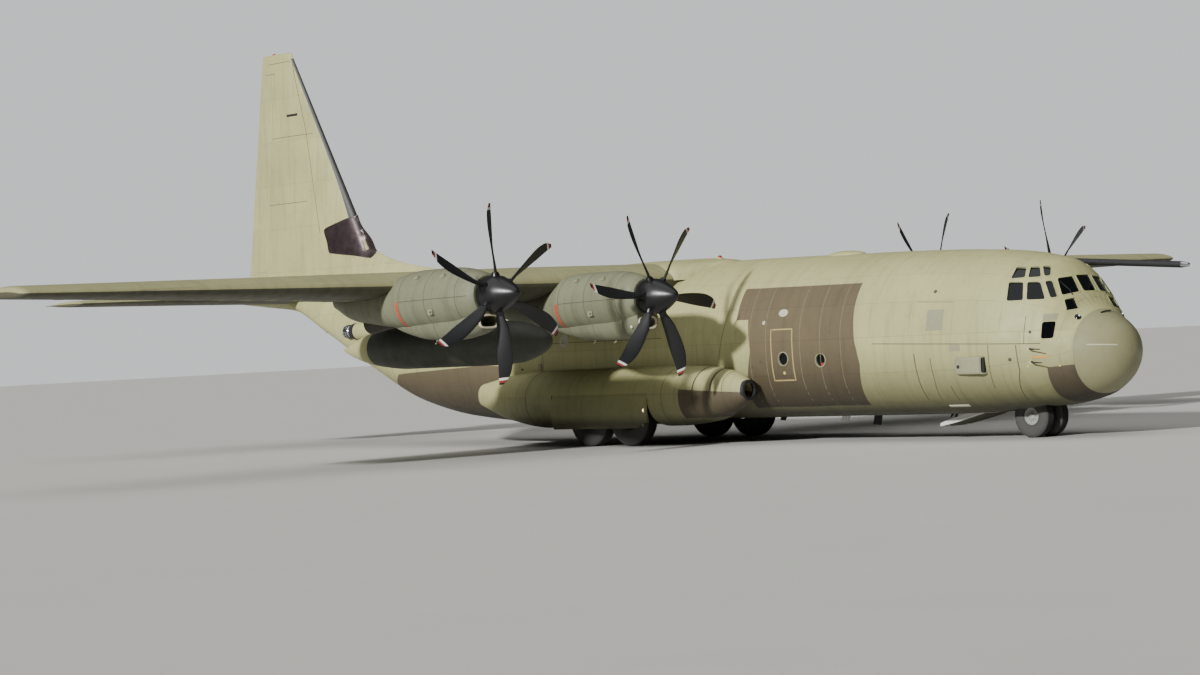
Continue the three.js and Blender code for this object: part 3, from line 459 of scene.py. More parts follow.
def paint(name, hexColour, layout="upright", panels=(1.0, 1.0), dirt=0.5, roughness=0.62, grimeAndShade=(), areas=(),
          lines=1.0, axis=0.0, radius=1.0):
    made, tree = newMaterial(name, hexColour, {"Metallic": 0.0})
    where = addNode(tree, "TexCoord").outputs["Object"]
    x, y, z = addNode(tree, "SeparateXYZ", [where]).outputs
    second = y if layout == "flat" else z
    if layout == "round":  # the second coordinate runs round an axis along X, with its seam underneath
        height = addNode(tree, "Math", [z, axis], operation="SUBTRACT")
        turn = addNode(tree, "Math", [y, height], operation="ARCTAN2")
        second = addNode(tree, "Math", [turn, radius], operation="MULTIPLY")
    place = addNode(tree, "CombineXYZ", [second, x] if layout == "flat" else [x, second])
    brick = addNode(tree, "TexBrick", {
        "Vector": place,
        "Color1": (0.965, 0.965, 0.965, 1),
        "Color2": (1.03, 1.03, 1.03, 1),
        "Mortar": (1 - paintWork["lineTone"] * lines,) * 3 + (1,),
        "Scale": 1.0,
        "Mortar Size": paintWork["lineWidth"],
        "Mortar Smooth": 0.3,
        "Bias": 0.0,
        "Brick Width": paintWork["panelLength"] * panels[0],
        "Row Height": paintWork["panelHeight"] * panels[1],
    }, offset=0.37, offset_frequency=2)
    cloud, blotch, grain = [
        addNode(tree, "TexNoise", {"Vector": where, "Scale": scale, "Detail": detail, "Roughness": rough})
        for scale, detail, rough in paintWork["noises"].values()
    ]
    stretch = paintWork["streaks"]["flat" if layout == "flat" else "body"]
    stretched = addNode(tree, "Mapping", {"Vector": place, "Scale": stretch})
    streak = addNode(tree, "TexNoise", {"Vector": stretched, "Scale": 1.0, "Detail": 5.0})
    wear = [  # pattern, from, to, tone there and there
        (cloud, 0.36, 0.68, 0.94, 1.1),
        (streak, 0.5, 0.78, 1.0, 1 - 0.38 * dirt),
        (blotch, 0.52, 0.8, 1.0, 1 - 0.3 * dirt),
    ]
    if grimeAndShade:  # a body's lower part, darkened as painted shade and grime: bottom, edge of the dark part, top of the fade; tones of the first two
        low, edge, high, lowTone, edgeTone = grimeAndShade
        height = addNode(tree, "Math", [z, 0.025], operation="SUBTRACT")
        ragged = addNode(tree, "Math", [blotch, 0.05, height], operation="MULTIPLY_ADD")
        wear += [(ragged, edge, high, edgeTone, 1.0), (ragged, low, edge, lowTone, 1.0)]
    tone = brick
    for values in wear:
        tone = addNode(tree, "Math", [tone, addNode(tree, "MapRange", values)], operation="MULTIPLY")
    base = fromHex(hexColour)[:3]
    if areas:
        mask = areaMask(tree, where, areas, layout == "flat")
        colours = {"Factor": mask, 6: fromHex(hexColour), 7: fromHex(paintWork["brown"])}
        base = addNode(tree, "Mix", colours, data_type="RGBA").outputs[2]
    colour = addNode(tree, "VectorMath", {0: base, "Scale": tone}, operation="SCALE")
    shine = addNode(tree, "MapRange", [blotch, 0.3, 0.75, roughness - 0.1, roughness + 0.12])
    sag = addNode(tree, "MapRange", [cloud, 0.35, 0.65, 0.0, 0.9])
    for value, length in ((x, paintWork["dent"]), (second, paintWork["dent"] * 0.8)):
        phase = addNode(tree, "Math", [value, 2 * math.pi / length], operation="MULTIPLY")
        wave = addNode(tree, "Math", [phase], operation="SINE")
        sag = addNode(tree, "Math", [sag, wave], operation="MULTIPLY")
    depth = addNode(tree, "Math", [brick.outputs["Fac"], -1.2 * lines, sag], operation="MULTIPLY_ADD")
    depth = addNode(tree, "Math", [grain, 0.18, depth], operation="MULTIPLY_ADD")
    bump = addNode(tree, "Bump", {"Height": depth, "Strength": 0.5, "Distance": 0.0022})
    joinShader(tree, {"Base Color": colour.outputs[0], "Roughness": shine.outputs[0],
                      "Normal": bump.outputs[0]})
    return made


def plain(name, hexColour, roughness, metallic=0.0, scale=30.0, spread=0.12, bump=0.25, **more):
    made, tree = newMaterial(name, hexColour, {"Metallic": metallic, **more})
    where = addNode(tree, "TexCoord").outputs["Object"]
    noise = addNode(tree, "TexNoise", {"Vector": where, "Scale": scale, "Detail": 5.0, "Roughness": 0.6})
    tones = {"Factor": noise, 6: shade(hexColour, 1 - spread * 1.6), 7: shade(hexColour, 1 + spread)}
    tone = addNode(tree, "Mix", tones, data_type="RGBA").outputs[2]
    low, high = max(0.03, roughness - 0.1), min(1.0, roughness + 0.1)
    rough = addNode(tree, "MapRange", {"Value": noise, "To Min": low, "To Max": high})
    relief = addNode(tree, "Bump", {"Height": noise, "Strength": bump, "Distance": 0.002})
    joinShader(tree, {"Base Color": tone, "Roughness": rough.outputs[0], "Normal": relief.outputs[0]})
    return made


green = "#a3a170"
camouflage = {  # brown areas as convex outlines: station and z in side view, station and y from above
    "hull": [
        [(6520, 3020), (6560, 3770), (10390, 3810), (10385, 3043)],
        [(6430, 2290), (6520, 3060), (9990, 3060), (9885, 2290)],
        [(6480, 880), (6330, 1850), (6430, 2330), (9885, 2330), (10253, 880)],
        [(18900, 400), (18760, 1240), (18901, 1790), (19080, 2240), (20075, 2200), (23400, 2350), (24600, 1500),
         (23500, 500)],
        [(1400, 780), (1307, 1630), (780, 1670), (700, 800)],
    ],
    "sponson": [[(9500, 700), (9500, 1290), (11700, 1420), (11700, 700)]],
    "wing": [
        [(14300, 8600), (13900, 12800), (16500, 14300), (19000, 13500), (19000, 9700), (15600, 8300)],
        [(15300, -7000), (15100, -11300), (16100, -12600), (19000, -11800), (19000, -8200), (16300, -6600)],
    ],
}
wide = (1.5, 1.0)  # long panels of the wing
# The hull and sponson paints darken towards the bottom: painted shade under the body, with some grime
hullPaint = paint("hullPaint", green, "round", grimeAndShade=(0.36, 0.5, 1.2, 0.38, 0.36), areas=camouflage["hull"],
                  axis=2400 * k, radius=1.07)
sponsonPaint = paint("sponsonPaint", green, panels=(1.2, 0.8), grimeAndShade=(0.3, 0.42, 0.9, 0.3, 0.55),
                     areas=camouflage["sponson"])
wingPaint = paint("wingPaint", "#4a4937", "flat", wide, 0.8)  # underside, with dirt streaks; its dark base colour is painted shade
wingTopPaint = paint("wingTopPaint", "#949269", "flat", wide, areas=camouflage["wing"])
finPaint = paint("finPaint", green, panels=(0.9, 1.6))
plainPaint = paint("smallPartPaint", green, panels=(9.0, 9.0))  # parts too small for panel lines
nacellePaint = paint("nacellePaint", "#6e7058", panels=(30.0, 30.0), dirt=0.8)  # greyer, stained by exhaust
tankPaint = paint("tankPaint", "#34362c", panels=(2.6, 30.0), dirt=0.4)  # newer, dark
radomePaint = paint("radomePaint", "#858361", panels=(40.0, 40.0), dirt=0.25, roughness=0.5, lines=0.0)
# Sprayed paint and primer: dull, with faint blotches
primer = plain("zincPrimer", "#8a8f6c", 0.7, scale=12.0)
blackPaint = plain("mattBlackPaint", "#1b1b1c", 0.6, scale=40.0)
lineDark = plain("panelGap", "#45432f", 0.8, scale=60.0)  # dirt in a gap
panelGreen = plain("dullPanelGreen", "#87866a", 0.7, scale=20.0)
outlinePaint = plain("hatchOutline", "#a0905f", 0.6, scale=40.0)
palePaint = plain("palePatch", "#b4b29c", 0.6, scale=40.0)
bandOrange = plain("firebandOrange", "#b0492f", 0.55)
cream = plain("intakeLipCream", "#d8cdb0", 0.5)
signalRed = plain("bandRed", "#8c2f27", 0.55, scale=40.0)
signalWhite = plain("bandWhite", "#d9d8d2", 0.5, scale=40.0)
ochre = plain("markingOchre", "#b98c3f", 0.6, scale=40.0)
paleYellow = plain("markingYellow", "#b9b06c", 0.6, scale=40.0)
panelGrey = plain("cockpitPanelGrey", "#4a4c4b", 0.55, scale=60.0)
# Baked enamel: smoother, with a soft gloss
wheelGrey = plain("wheelEnamel", "#94968f", 0.42)
gearWhite = plain("gearEnamelWhite", "#d4d5cf", 0.38, scale=18.0)
# Moulded composite and rubber: near black, satin blades, dusty tyres
bladeBlack = plain("bladeComposite", "#111213", 0.5, scale=25.0)
spinnerBlack = plain("spinnerGlossBlack", "#0e0e10", 0.34, scale=25.0, bump=0.05)
erosionGrey = plain("erosionStrip", "#2c2b28", 0.5, scale=60.0)
tyreRubber = plain("tyreRubber", "#2c2b29", 0.88, scale=90.0, spread=0.3, bump=0.5)
sidewallRubber = plain("dustySidewall", "#43423f", 0.85, scale=60.0, spread=0.25, bump=0.4)
# Metals: bright plating on the struts, worn steel, a steel sheet tinted brown as a painted reflection of warm
# surroundings, and pipes that the exhaust has dulled
chrome = plain("strutChrome", "#c9ccd0", 0.14, 1.0, scale=80.0, bump=0.05)
bareSteel = plain("bareSteel", "#8c8983", 0.4, 1.0, scale=50.0)
steelSheetReflectionTint = plain("heatDulledSteel", "#55494a", 0.36, 0.85, scale=9.0, spread=0.25)
exhaustSteel = plain("exhaustSteel", "#4d463f", 0.55, 0.8, scale=22.0, spread=0.35)
floorMetal = plain("cargoFloorMetal", "#77787a", 0.42, 0.6, scale=14.0, spread=0.2)
# Woven seat cloth: no shine; the weave is too fine to show and is drawn as a coarse mottle
seatCloth = plain("seatCloth", "#3d4138", 0.9, scale=120.0, spread=0.3, bump=0.5)
# Glass: smooth and sharp in its reflections; tinted panes look almost black from outside
clear = {"scale": 3.0, "bump": 0.0}
glassDark = plain("tintedWindowGlass", "#06090c", 0.05, **clear, IOR=1.4, Transmission_Weight=0.2)
lampGlass = plain("lampGlass", "#e8e6dc", 0.08, **clear, IOR=1.5)
lampLit = plain("litTaxiLamp", "#ffe9c8", 0.1, **clear, Emission_Color=fromHex("#ffd7a0"),
                Emission_Strength=5.0)
redLens = plain("redLens", "#a32018", 0.12, **clear, IOR=1.5)
greenLens = plain("greenLens", "#1f8a4a", 0.12, **clear, IOR=1.5)
print("materials made")

# Fuselage: station, half width, top, widest height, bottom, power of the lower curve
hullRows = [
    (0, 0, 1950, 1950, 1950, 2),
    (60, 330, 2250, 1950, 1650, 2),
    (200, 610, 2480, 1940, 1400, 2),
    (450, 900, 2680, 1950, 1160, 2.1),
    (750, 1150, 2860, 1960, 990, 2.2),
    (950, 1290, 3020, 2000, 900, 2.3),
    (1150, 1410, 3370, 2050, 850, 2.4),
    (1400, 1550, 3770, 2100, 800, 2.5),
    (1700, 1700, 4070, 2150, 750, 2.6),
    (2100, 1850, 4180, 2200, 700, 2.7),
    (2700, 2000, 4290, 2280, 650, 2.8),
    (3700, 2110, 4385, 2350, 600, 2.9),
    (5500, 2150, 4470, 2400, 580, 3),
    (8100, 2150, 4525, 2420, 580, 3),
    (12600, 2150, 4580, 2430, 580, 3),
    (19700, 2150, 4580, 2430, 600, 3),
    (21560, 2130, 4590, 2480, 740, 3),
    (23500, 2040, 4610, 2620, 1130, 2.9),
    (25500, 1820, 4640, 2950, 2000, 2.7),
    (28000, 1400, 4690, 3650, 3150, 2.4),
    (30000, 1000, 4740, 4250, 3950, 2.2),
    (32500, 560, 4780, 4500, 4230, 2),
    (34200, 120, 4680, 4560, 4440, 2),
    (34370, 30, 4620, 4570, 4520, 2),
]
hullForm = {"sides": 112, "noseSteps": 34, "noseEnd": 3000, "step": 240}
roots = [math.sqrt(row[0]) for row in hullRows]  # the root keeps the tip round
hullCurves = [curveThrough(roots, [row[c] for row in hullRows]) for c in range(1, 6)]


def hullAt(station):
    return [curve(np.sqrt(np.maximum(station, 0))) for curve in hullCurves]


def hullPoint(station, angle, inset=0.0):  # angle 0 at port, 90 degrees at the top
    w, top, widest, bottom, power = [float(v) for v in hullAt(station)]
    low = max(widest - bottom - inset, 5)
    return superPoint(station, (0, widest, w - inset, top - inset - widest, low, power), angle)


def hullSolid(inset=0.0):  # the whole fuselage form, drawn in by an inset
    sides, count, noseEnd, tail = hullForm["sides"], hullForm["noseSteps"], hullForm["noseEnd"], hullRows[-1][0]
    stations = [noseEnd * ((i + 1) / count) ** 2 for i in range(count)]
    stations += spread(noseEnd, tail, int((tail - noseEnd) / hullForm["step"]))[1:]
    rings = []
    for station in stations:
        w, top, widest, bottom, power = hullAt(station)
        if w > inset + 5 and top - bottom > 2 * inset + 20 and top - inset > widest + 5:
            rings.append([hullPoint(station, angle, inset) for angle in turns(sides)])
    shape = Shape().loft(rings)
    if not inset:  # a pointed nose instead of the first cap
        tip = len(shape.points)
        cap = next(face for face in shape.faces if len(face) == sides and 0 in face)
        place = shape.faces.index(cap)
        shape.faces[place:place + 1] = [(a, b, tip) for a, b in pairsOf(cap)]
        shape.points.append(at(0, 0, hullRows[0][3]))
        shape.slots += [0] * (sides - 1)
    return shape


def hullLevel(points):  # above 0 outside the skin, below 0 inside; points in metres
    station = plane["noseStation"] - points[:, 0] / k
    y, z = points[:, 1] / k, points[:, 2] / k
    w, top, widest, bottom, power = hullAt(station)
    w = np.maximum(w, 1)
    over = (y / w) ** 2 + ((z - widest) / np.maximum(top - widest, 1)) ** 2
    under = np.abs(y / w) ** power + np.abs((widest - z) / np.maximum(widest - bottom, 1)) ** power
    return np.where(z >= widest, np.sqrt(over), under ** (1 / power)) - 1


def hullDirections(points):  # outward direction of the skin near each point
    shifts = np.eye(3) * 0.002
    slope = np.stack([hullLevel(points + shift) - hullLevel(points - shift) for shift in shifts], axis=1)
    return slope / np.maximum(np.linalg.norm(slope, axis=1, keepdims=True), 1e-9)


def smoothHull(mesh):  # skin faces take the form's own direction, so cuts and joints show no facets
    corner = [loop.vertex_index for loop in mesh.loops]
    points = np.array([v.co for v in mesh.vertices], float)
    toward = hullDirections(points)[corner]
    flat = np.zeros((len(corner), 3))
    for face in mesh.polygons:
        flat[face.loop_start:face.loop_start + face.loop_total] = face.normal
    agree = np.einsum("ij,ij->i", toward, flat)[:, None]
    made = np.where(agree > 0.9, toward, np.where(agree < -0.9, -toward, flat))
    mesh.normals_split_custom_set(made.tolist())


def nearestOnHull(station, z, side):  # point of the skin at a station and height, on one side
    w, top, widest, bottom, power = [float(v) for v in hullAt(station)]
    if z >= widest:
        y = w * math.sqrt(max(0.0, 1 - ((z - widest) / (top - widest)) ** 2))
    else:
        y = w * max(0.0, 1 - ((widest - z) / (widest - bottom)) ** power) ** (1 / power)
    return at(station, side * y, z)


def ontoHull(point, direction):  # moves a point along a direction onto the skin
    low, high = -0.3, 0.3
    for _ in range(26):
        middle = (low + high) / 2
        inside = hullLevel(np.array([tuple(point + direction * middle)]))[0] < 0
        low, high = (middle, high) if inside else (low, middle)
    return point + direction * low


def skinNormal(point):
    return Vector(hullDirections(np.array([tuple(point)]))[0])


def skinGrid(corners, side, rise, slot=0, rows=8, columns=6):  # sheet on the hull between four (station, z)
    (s0, z0), (s1, z1), (s2, z2), (s3, z3) = corners
    grid = []
    for v in spread(0, 1, rows):
        row = []
        for u in spread(0, 1, columns):
            point = nearestOnHull(mix(mix(s0, s1, u), mix(s3, s2, u), v),
                                  mix(mix(z0, z1, u), mix(z3, z2, u), v), side)
            out = skinNormal(point)
            row.append((point + out * (rise * k), point - out * (4 * k)))
        grid.append(row)
    return sheet(grid, slot)


def skinLine(places, side, width, rise, slot=0, steps=10):  # narrow strip along (station, z) places
    points = []
    for (s0, z0), (s1, z1) in zip(places, places[1:]):
        points += [nearestOnHull(mix(s0, s1, i / steps), mix(z0, z1, i / steps), side) for i in range(steps)]
    points.append(nearestOnHull(*places[-1], side))
    rings = []
    for i, point in enumerate(points):
        ahead = (points[min(i + 1, len(points) - 1)] - points[max(i - 1, 0)]).normalized()
        out = skinNormal(point)
        across = ahead.cross(out).normalized() * (width / 2 * k)
        low, high = out * (-3 * k), out * (rise * k)
        rings.append([point - across + low, point - across + high, point + across + high, point + across + low])
    return Shape().loft(rings, slot)


def skinDisc(station, z, side, radius, rise, slot=0, tall=None, dome=0):  # round or oval disc on the hull
    tall = radius if tall is None else tall
    middle = nearestOnHull(station, z, side)
    out = skinNormal(middle)
    along = (Vector((1, 0, 0)) - out * out.x).normalized()
    across = out.cross(along)
    rings = [[], []]
    for a in turns(20):
        point = ontoHull(middle + (along * math.cos(a) * radius + across * math.sin(a) * tall) * k, out)
        rings[0].append(point - out * (4 * k))
        rings[1].append(point + out * (rise * k))
    for t in (0.5, 0.8, 0.95) if dome else ():
        centre = middle + out * ((rise + dome * math.sin(math.acos(1 - t))) * k)
        rings.append([centre + (p - middle - out * (rise * k)) * (1 - t) for p in rings[1]])
    return Shape().loft(rings, slot)

# Panels and doors of the skin, as in the frame's construction
skin = {
    "radomeJoint": 780,
    "frontJoint": 11900,
    "rearJoint": 19700,
    "jointGap": 4,  # an open line between two panels
    "wall": 110,
    "radomeWall": 60,
    "running": 14,  # gap round a piece that moves
    "reach": (-3000, 3000, 0, 6000),  # beyond every side of the hull
}
crewDoor = {"front": 3000, "back": 3780, "low": 900, "high": 2560, "inside": 900, "sill": 60,
            "hinge": (1508, 916),
            "pin": 18}
troopDoor = {"front": 20350, "back": 21260, "low": 1030, "high": 2860, "inside": 1500, "gap": 4}
ramp = {
    "cut": (21560, 24700, 1500, 1500, 2300),  # station range, half widths, height
    "side": [(21576, 1030), (24615, 1775), (24660, 1600), (24660, 600), (21790, 600)],
    "pin": 15,
}
cargoDoor = {
    "cut": (24700, 28300, 1480, 1000, 3500),
    "hinge": (28270, 3355),
    "pin": 25,
    "pinRoom": (28300, 28390, -1020, 1020, 3395, 3620),
}
noseBay = (1950, 3480, -690, 690, 0, 1000)
well = (13150, 16590, 1660, 2600, 0, 1740)
running = skin["running"]

shell = carve(linked("shell", hullSolid().mesh("shell")), hullSolid(skin["wall"]))
wholeHull = linked("wholeHull", hullSolid().mesh("wholeHull"))


def cutFrom(source, *forms):  # the part of a form that lies inside another
    return carve(linked("part", source.data.copy()), *forms, operation="INTERSECT")


def dressHull(name, piece, node, body="airframe", paints=(hullPaint, primer)):
    piece.name = piece.data.name = name
    mesh = piece.data
    mesh.materials.clear()
    for material in paints:
        mesh.materials.append(material)
    centres = np.array([face.center for face in mesh.polygons], float)
    inside = np.abs(hullLevel(centres)) >= 0.012
    mesh.polygons.foreach_set("material_index", inside.astype(np.int32))
    mesh.polygons.foreach_set("use_smooth", [True] * len(mesh.polygons))
    mesh.update()
    smoothHull(mesh)
    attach(piece, body)
    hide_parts(node)


# Cockpit panes of the starboard side: corners as station, y, z, lower rear corner first
panes = {
    "corners": [
        [(2208, -1650, 3154), (2316, -1400, 3578), (1991, -1290, 3560), (1851, -1515, 3153)],
        [(1780, -1470, 3149), (1909, -1255, 3557), (1656, -1110, 3542), (1445, -1235, 3148)],
        [(1369, -1143, 3178), (1589, -1037, 3550), (1495, -893, 3567), (1281, -995, 3192)],
        [(1255, -882, 3220), (1455, -761, 3612), (1348, -331, 3649), (1141, -360, 3290)],
        [(2313, -1330, 3655), (2383, -1000, 3881), (2161, -930, 3868), (2025, -1180, 3639)],
        [(1949, -1160, 3634), (2084, -880, 3863), (1897, -790, 3863), (1707, -1010, 3631)],
        [(1649, -970, 3664), (1851, -760, 3871), (1711, -640, 3871), (1576, -850, 3659)],
        [(1192, -889, 3120), (1150, -577, 3130), (980, -639, 2907), (1066, -951, 2883)],
    ],
    "low": [(1385, 2275), (1385, 2650), (1150, 2650), (1150, 2275)],
    "centre": [(1145, -240, 3290), (1359, -240, 3665), (1359, 240, 3665), (1145, 240, 3290)],
    "rounding": 55,
    "cutDepth": (-150, 80),
    "glassDepth": (-40, -22),
    "glassOverlap": 14,
    "rimWidth": 30,
    "rimHeight": 7,
}


def roundedOutline(corners, grow, rounding):  # corners in one plane, moved outwards and rounded
    outline = []
    for i, corner in enumerate(corners):
        a = (corner - corners[i - 1]).normalized()
        b = (corners[(i + 1) % len(corners)] - corner).normalized()
        corner = corner + (a - b) * (grow * k / max(0.2, a.cross(b).length))
        start, end = corner - a * (rounding * k), corner + b * (rounding * k)
        outline += [start * (1 - t) ** 2 + corner * 2 * t * (1 - t) + end * t * t for t in spread(0, 1, 4)]
    return outline


def paneParts(corners):  # cutter, glass and rim of one pane
    points = [at(*corner) for corner in corners]
    normal = (points[2] - points[0]).cross(points[3] - points[1]).normalized()
    if normal.dot(skinNormal(sum(points, Vector()) / 4)) < 0:
        normal.negate()
    points = [ontoHull(p, normal) for p in points]
    middle = sum(points, Vector()) / 4
    points = [p - normal * normal.dot(p - middle) for p in points]
    rounding = panes["rounding"]
    inner = roundedOutline(points, 0, rounding)
    cutter = Shape().plate(inner, *[normal * (depth * k) for depth in panes["cutDepth"]])
    glass = roundedOutline(points, panes["glassOverlap"], rounding)
    glass = Shape().plate(glass, *[normal * (depth * k) for depth in panes["glassDepth"]])
    rise = normal * (panes["rimHeight"] * k)
    rings = []
    for a, b in zip(inner, roundedOutline(points, panes["rimWidth"], rounding + 20)):
        a, b = ontoHull(a, normal), ontoHull(b, normal)
        rings.append([a - rise, a + rise, b + rise * 0.6, b - rise])
    return cutter, glass, Shape().loft(rings, wrap=True)


lowPane = [(s, nearestOnHull(s, z, -1).y / k, z) for s, z in panes["low"]]
paneCutters, glassShape, rimShape = [], Shape(), Shape()
for corners in panes["corners"] + [lowPane, panes["centre"]]:
    cutter, glass, rim = paneParts(corners)
    for turn in (Matrix(), mirrorY)[:1 if corners is panes["centre"] else 2]:
        paneCutters.append(Shape().join(cutter, turn))
        glassShape.join(glass, turn)
        rimShape.join(rim, turn)

# Small round windows of the hold
roundWindows = {"places": [(7570, 2000), (8790, 2060)], "radius": 150, "rim": 24, "glass": (40, 55)}


def doorForm(door, gap, sill=None):
    low = door["low"] - (gap if sill is None else sill)
    return boxForm(door["front"] - gap, door["back"] + gap, door["inside"], 2600, low, door["high"] + gap)


def hatchForm(hatch, gap):
    s0, s1, half0, half1, height = hatch["cut"]
    return panelForm(s0 - gap, s1 + gap, half0 + gap, half1 + gap, 0, height)


def buildFuselage():
    gap = skin["jointGap"] / 2
    joints = [-100, skin["radomeJoint"], skin["frontJoint"], skin["rearJoint"], 35000]
    boxes = [boxForm(a + gap, b - gap, *skin["reach"]) for a, b in zip(joints, joints[1:])]
    nose = carve(linked("nose", wholeHull.data.copy()), hullSolid(skin["radomeWall"]))
    nose = carve(nose, boxes[0], operation="INTERSECT")
    front, centre, rear = [cutFrom(shell, box) for box in boxes[1:]]
    crew = cutFrom(front, doorForm(crewDoor, 0))
    windows = [crossBar(*place, 2700, roundWindows["radius"], 32) for place in roundWindows["places"]]
    carve(front, doorForm(crewDoor, running, crewDoor["sill"]), boxForm(*noseBay), *paneCutters, *windows)
    dressHull("fuselageForward", front, "fuselage_forward")
    carve(centre, boxForm(*well), boxForm(*well).mirrored())
    dressHull("fuselageCentre", centre, "fuselage_centre")
    troop = doorForm(troopDoor, troopDoor["gap"])
    carve(rear, hatchForm(ramp, running), hatchForm(cargoDoor, running), boxForm(*cargoDoor["pinRoom"]), troop,
          troop.mirrored())
    dressHull("fuselageAft", rear, "fuselage_aft")
    dressHull("radome", nose, "radome", paints=(radomePaint, radomePaint))

    y, z = crewDoor["hinge"]
    reach = running - 1
    pin = Shape().rod(at(crewDoor["front"] - reach, y, z), at(crewDoor["back"] + reach, y, z), crewDoor["pin"])
    dressHull("crewDoor", carve(crew, pin, operation="UNION"), "crew_door", "crew_door")
    for side, form in (("left", doorForm(troopDoor, 0)), ("right", doorForm(troopDoor, 0).mirrored())):
        dressHull("paratroopDoor" + side.title(), cutFrom(shell, form), "paratroop_door_" + side)

    slab = cutFrom(wholeHull, hatchForm(ramp, 0), sideForm(ramp["side"], -2000, 2000))
    s, z = ramp["side"][0]
    carve(slab, crossBar(s, z - ramp["pin"], ramp["cut"][2] + reach, ramp["pin"]), operation="UNION")
    dressHull("cargoRamp", slab, "cargo_ramp", "cargo_ramp", (hullPaint, floorMetal))

    door = cutFrom(shell, boxForm(skin["rearJoint"], 30000, -2200, 2200, 0, 3600), hatchForm(cargoDoor, 0))
    end, half = cargoDoor["cut"][1], cargoDoor["cut"][3]
    carve(door, boxForm(end - 10, end + 10, -2000, 2000, 0, 4000))
    carve(door, crossBar(*cargoDoor["hinge"], half + running * 1.7, cargoDoor["pin"]), operation="UNION")
    dressHull("cargoDoor", door, "cargo_door", "cargo_door")


buildFuselage()
print("fuselage made")

# On the skin: seams, hatch outlines, patches and small fittings (stations and z on the starboard side)
skinMarks = {
    "seams": [  # width, places, on both sides
        (16, [(5893, 2330), (3500, 2250), (1401, 2170)], True),
        (20, [(1910, 2162), (1880, 1597), (1990, 1250), (2077, 899)], True),
        (24, [(4633, 2055), (4603, 1567), (4595, 970)], False),
        (18, [(4169, 1949), (4142, 1438), (4221, 962)], False),
        (18, [(3740, 1288), (3737, 952)], False),
        (12, [(1714, 2801), (1731, 2170)], False),
        (14, [(2556, 2190), (2576, 1532), (2600, 1200)], False),
        (9, [(4606, 3249), (3551, 3203)], True),
        (12, [(10703, 4233), (10713, 3168), (10985, 2097)], True),
        (12, [(13000, 2700), (19680, 2700)], True),
        (12, [(17500, 2700), (17500, 1100)], True),
        (12, [(22600, 4200), (22700, 3000), (22900, 2000)], True),
        (12, [(25500, 4300), (25600, 3400), (25700, 2600)], True),
    ],
    "frames": {"width": 7, "stations": [6900, 7560, 8220, 9350, 9900], "high": 3780, "low": 900},
    "hatch": {"width": 34, "corners": [(8469, 2773), (9169, 2773), (9169, 1541), (8469, 1541), (8469, 2773)]},
    "squares": [  # station range, z range, rise, slot
        (3776, 4252, 2580, 3050, 5, 2),
        (3630, 4190, 800, 836, 16, 3),
        (3303, 3564, 2085, 2225, 5, 2),
        (1150, 1385, 2665, 2822, 6, 2),
        (17560, 17680, 1020, 2180, 24, 2),
        (1242, 1583, 1845, 1900, 4, 4),
    ],
    "discs": [  # station, z, half length, half height, rise, slot, both sides
        (8827, 3166, 150, 95, 5, 3, False),
        (9429, 2950, 48, 48, 12, 3, True),
        (16666, 2753, 175, 175, 4, 3, True),
        (8793, 1720, 40, 40, 5, 5, False),
        (7500, 1890, 60, 45, 5, 6, False),
        (4174, 3466, 45, 45, 6, 0, True),
        (1604, 2439, 34, 34, 7, 0, True),
        (1673, 2219, 24, 24, 5, 5, False),
        (1039, 2207, 24, 24, 5, 5, False),
        (1688, 1679, 24, 24, 5, 5, False),
        (1055, 1658, 24, 24, 5, 5, False),
        (2060, 1840, 42, 42, 6, 0, True),
        (9560, 2010, 30, 30, 6, 0, False),
        (9850, 1900, 30, 30, 6, 0, False),
        (18350, 2050, 46, 30, 6, 0, True),
        (18500, 1750, 30, 30, 6, 0, True),
    ],
}
scoop = {  # an air intake low on the starboard nose
    "rings": [(2623, 78, 190), (2640, 92, 200), (2760, 112, 203), (3123, 135, 203), (3400, 122, 198),
              (3460, 90, 165),
              (3479, 55, 120)],
    "inner": [(2600, 56, 168), (2790, 74, 178)],
    "slant": [(2600, -2200), (2800, -2200), (2650, -1990), (2640, -1900), (2600, -1900)],
    "y": -2000,
    "z": 1742,
    # black blocks that fill the intake's mouth: painted shade of its inside
    "dark": [(2735, 2789, -2074, -1960, 1572, 1912), (2655, 2736, -2034, -1960, 1568, 1916)],
    # a black rod whose end marks a small hole: painted shade of its inside
    "hole": (3330, 1722, 42),
}
fittings = {
    "roofDome": {"station": 8500, "z": 4505, "size": (570, 330, 115)},
    "noseBar": [(662, -250, 2800), (655, -90, 2830), (648, 90, 2830)],
    # a lightning strip on the radome's side: a real metal strip, drawn in pale paint as a painted highlight
    "radomeStrip": {"places": [(546, 2098), (400, 2088), (226, 2075), (110, 2062)], "width": 26, "rise": 4},
    "pitots": {"masts": [(1616, 2063), (1596, 1774)], "foot": -20, "stand": 120, "radius": [26, 20, 17, 12],
               "path": [(40, 0), (90, -4), (330, -18)]},
    "aerials": [(7600, 7790, 331), (5200, 5330, 470), (10800, 10930, 480)],  # blades under the belly
    "paleAerial": [(8640, 600), (8900, 600), (8960, 443), (8730, 443)],
    "noseLamp": {"station": 881, "z": 2721, "radius": 78},
}


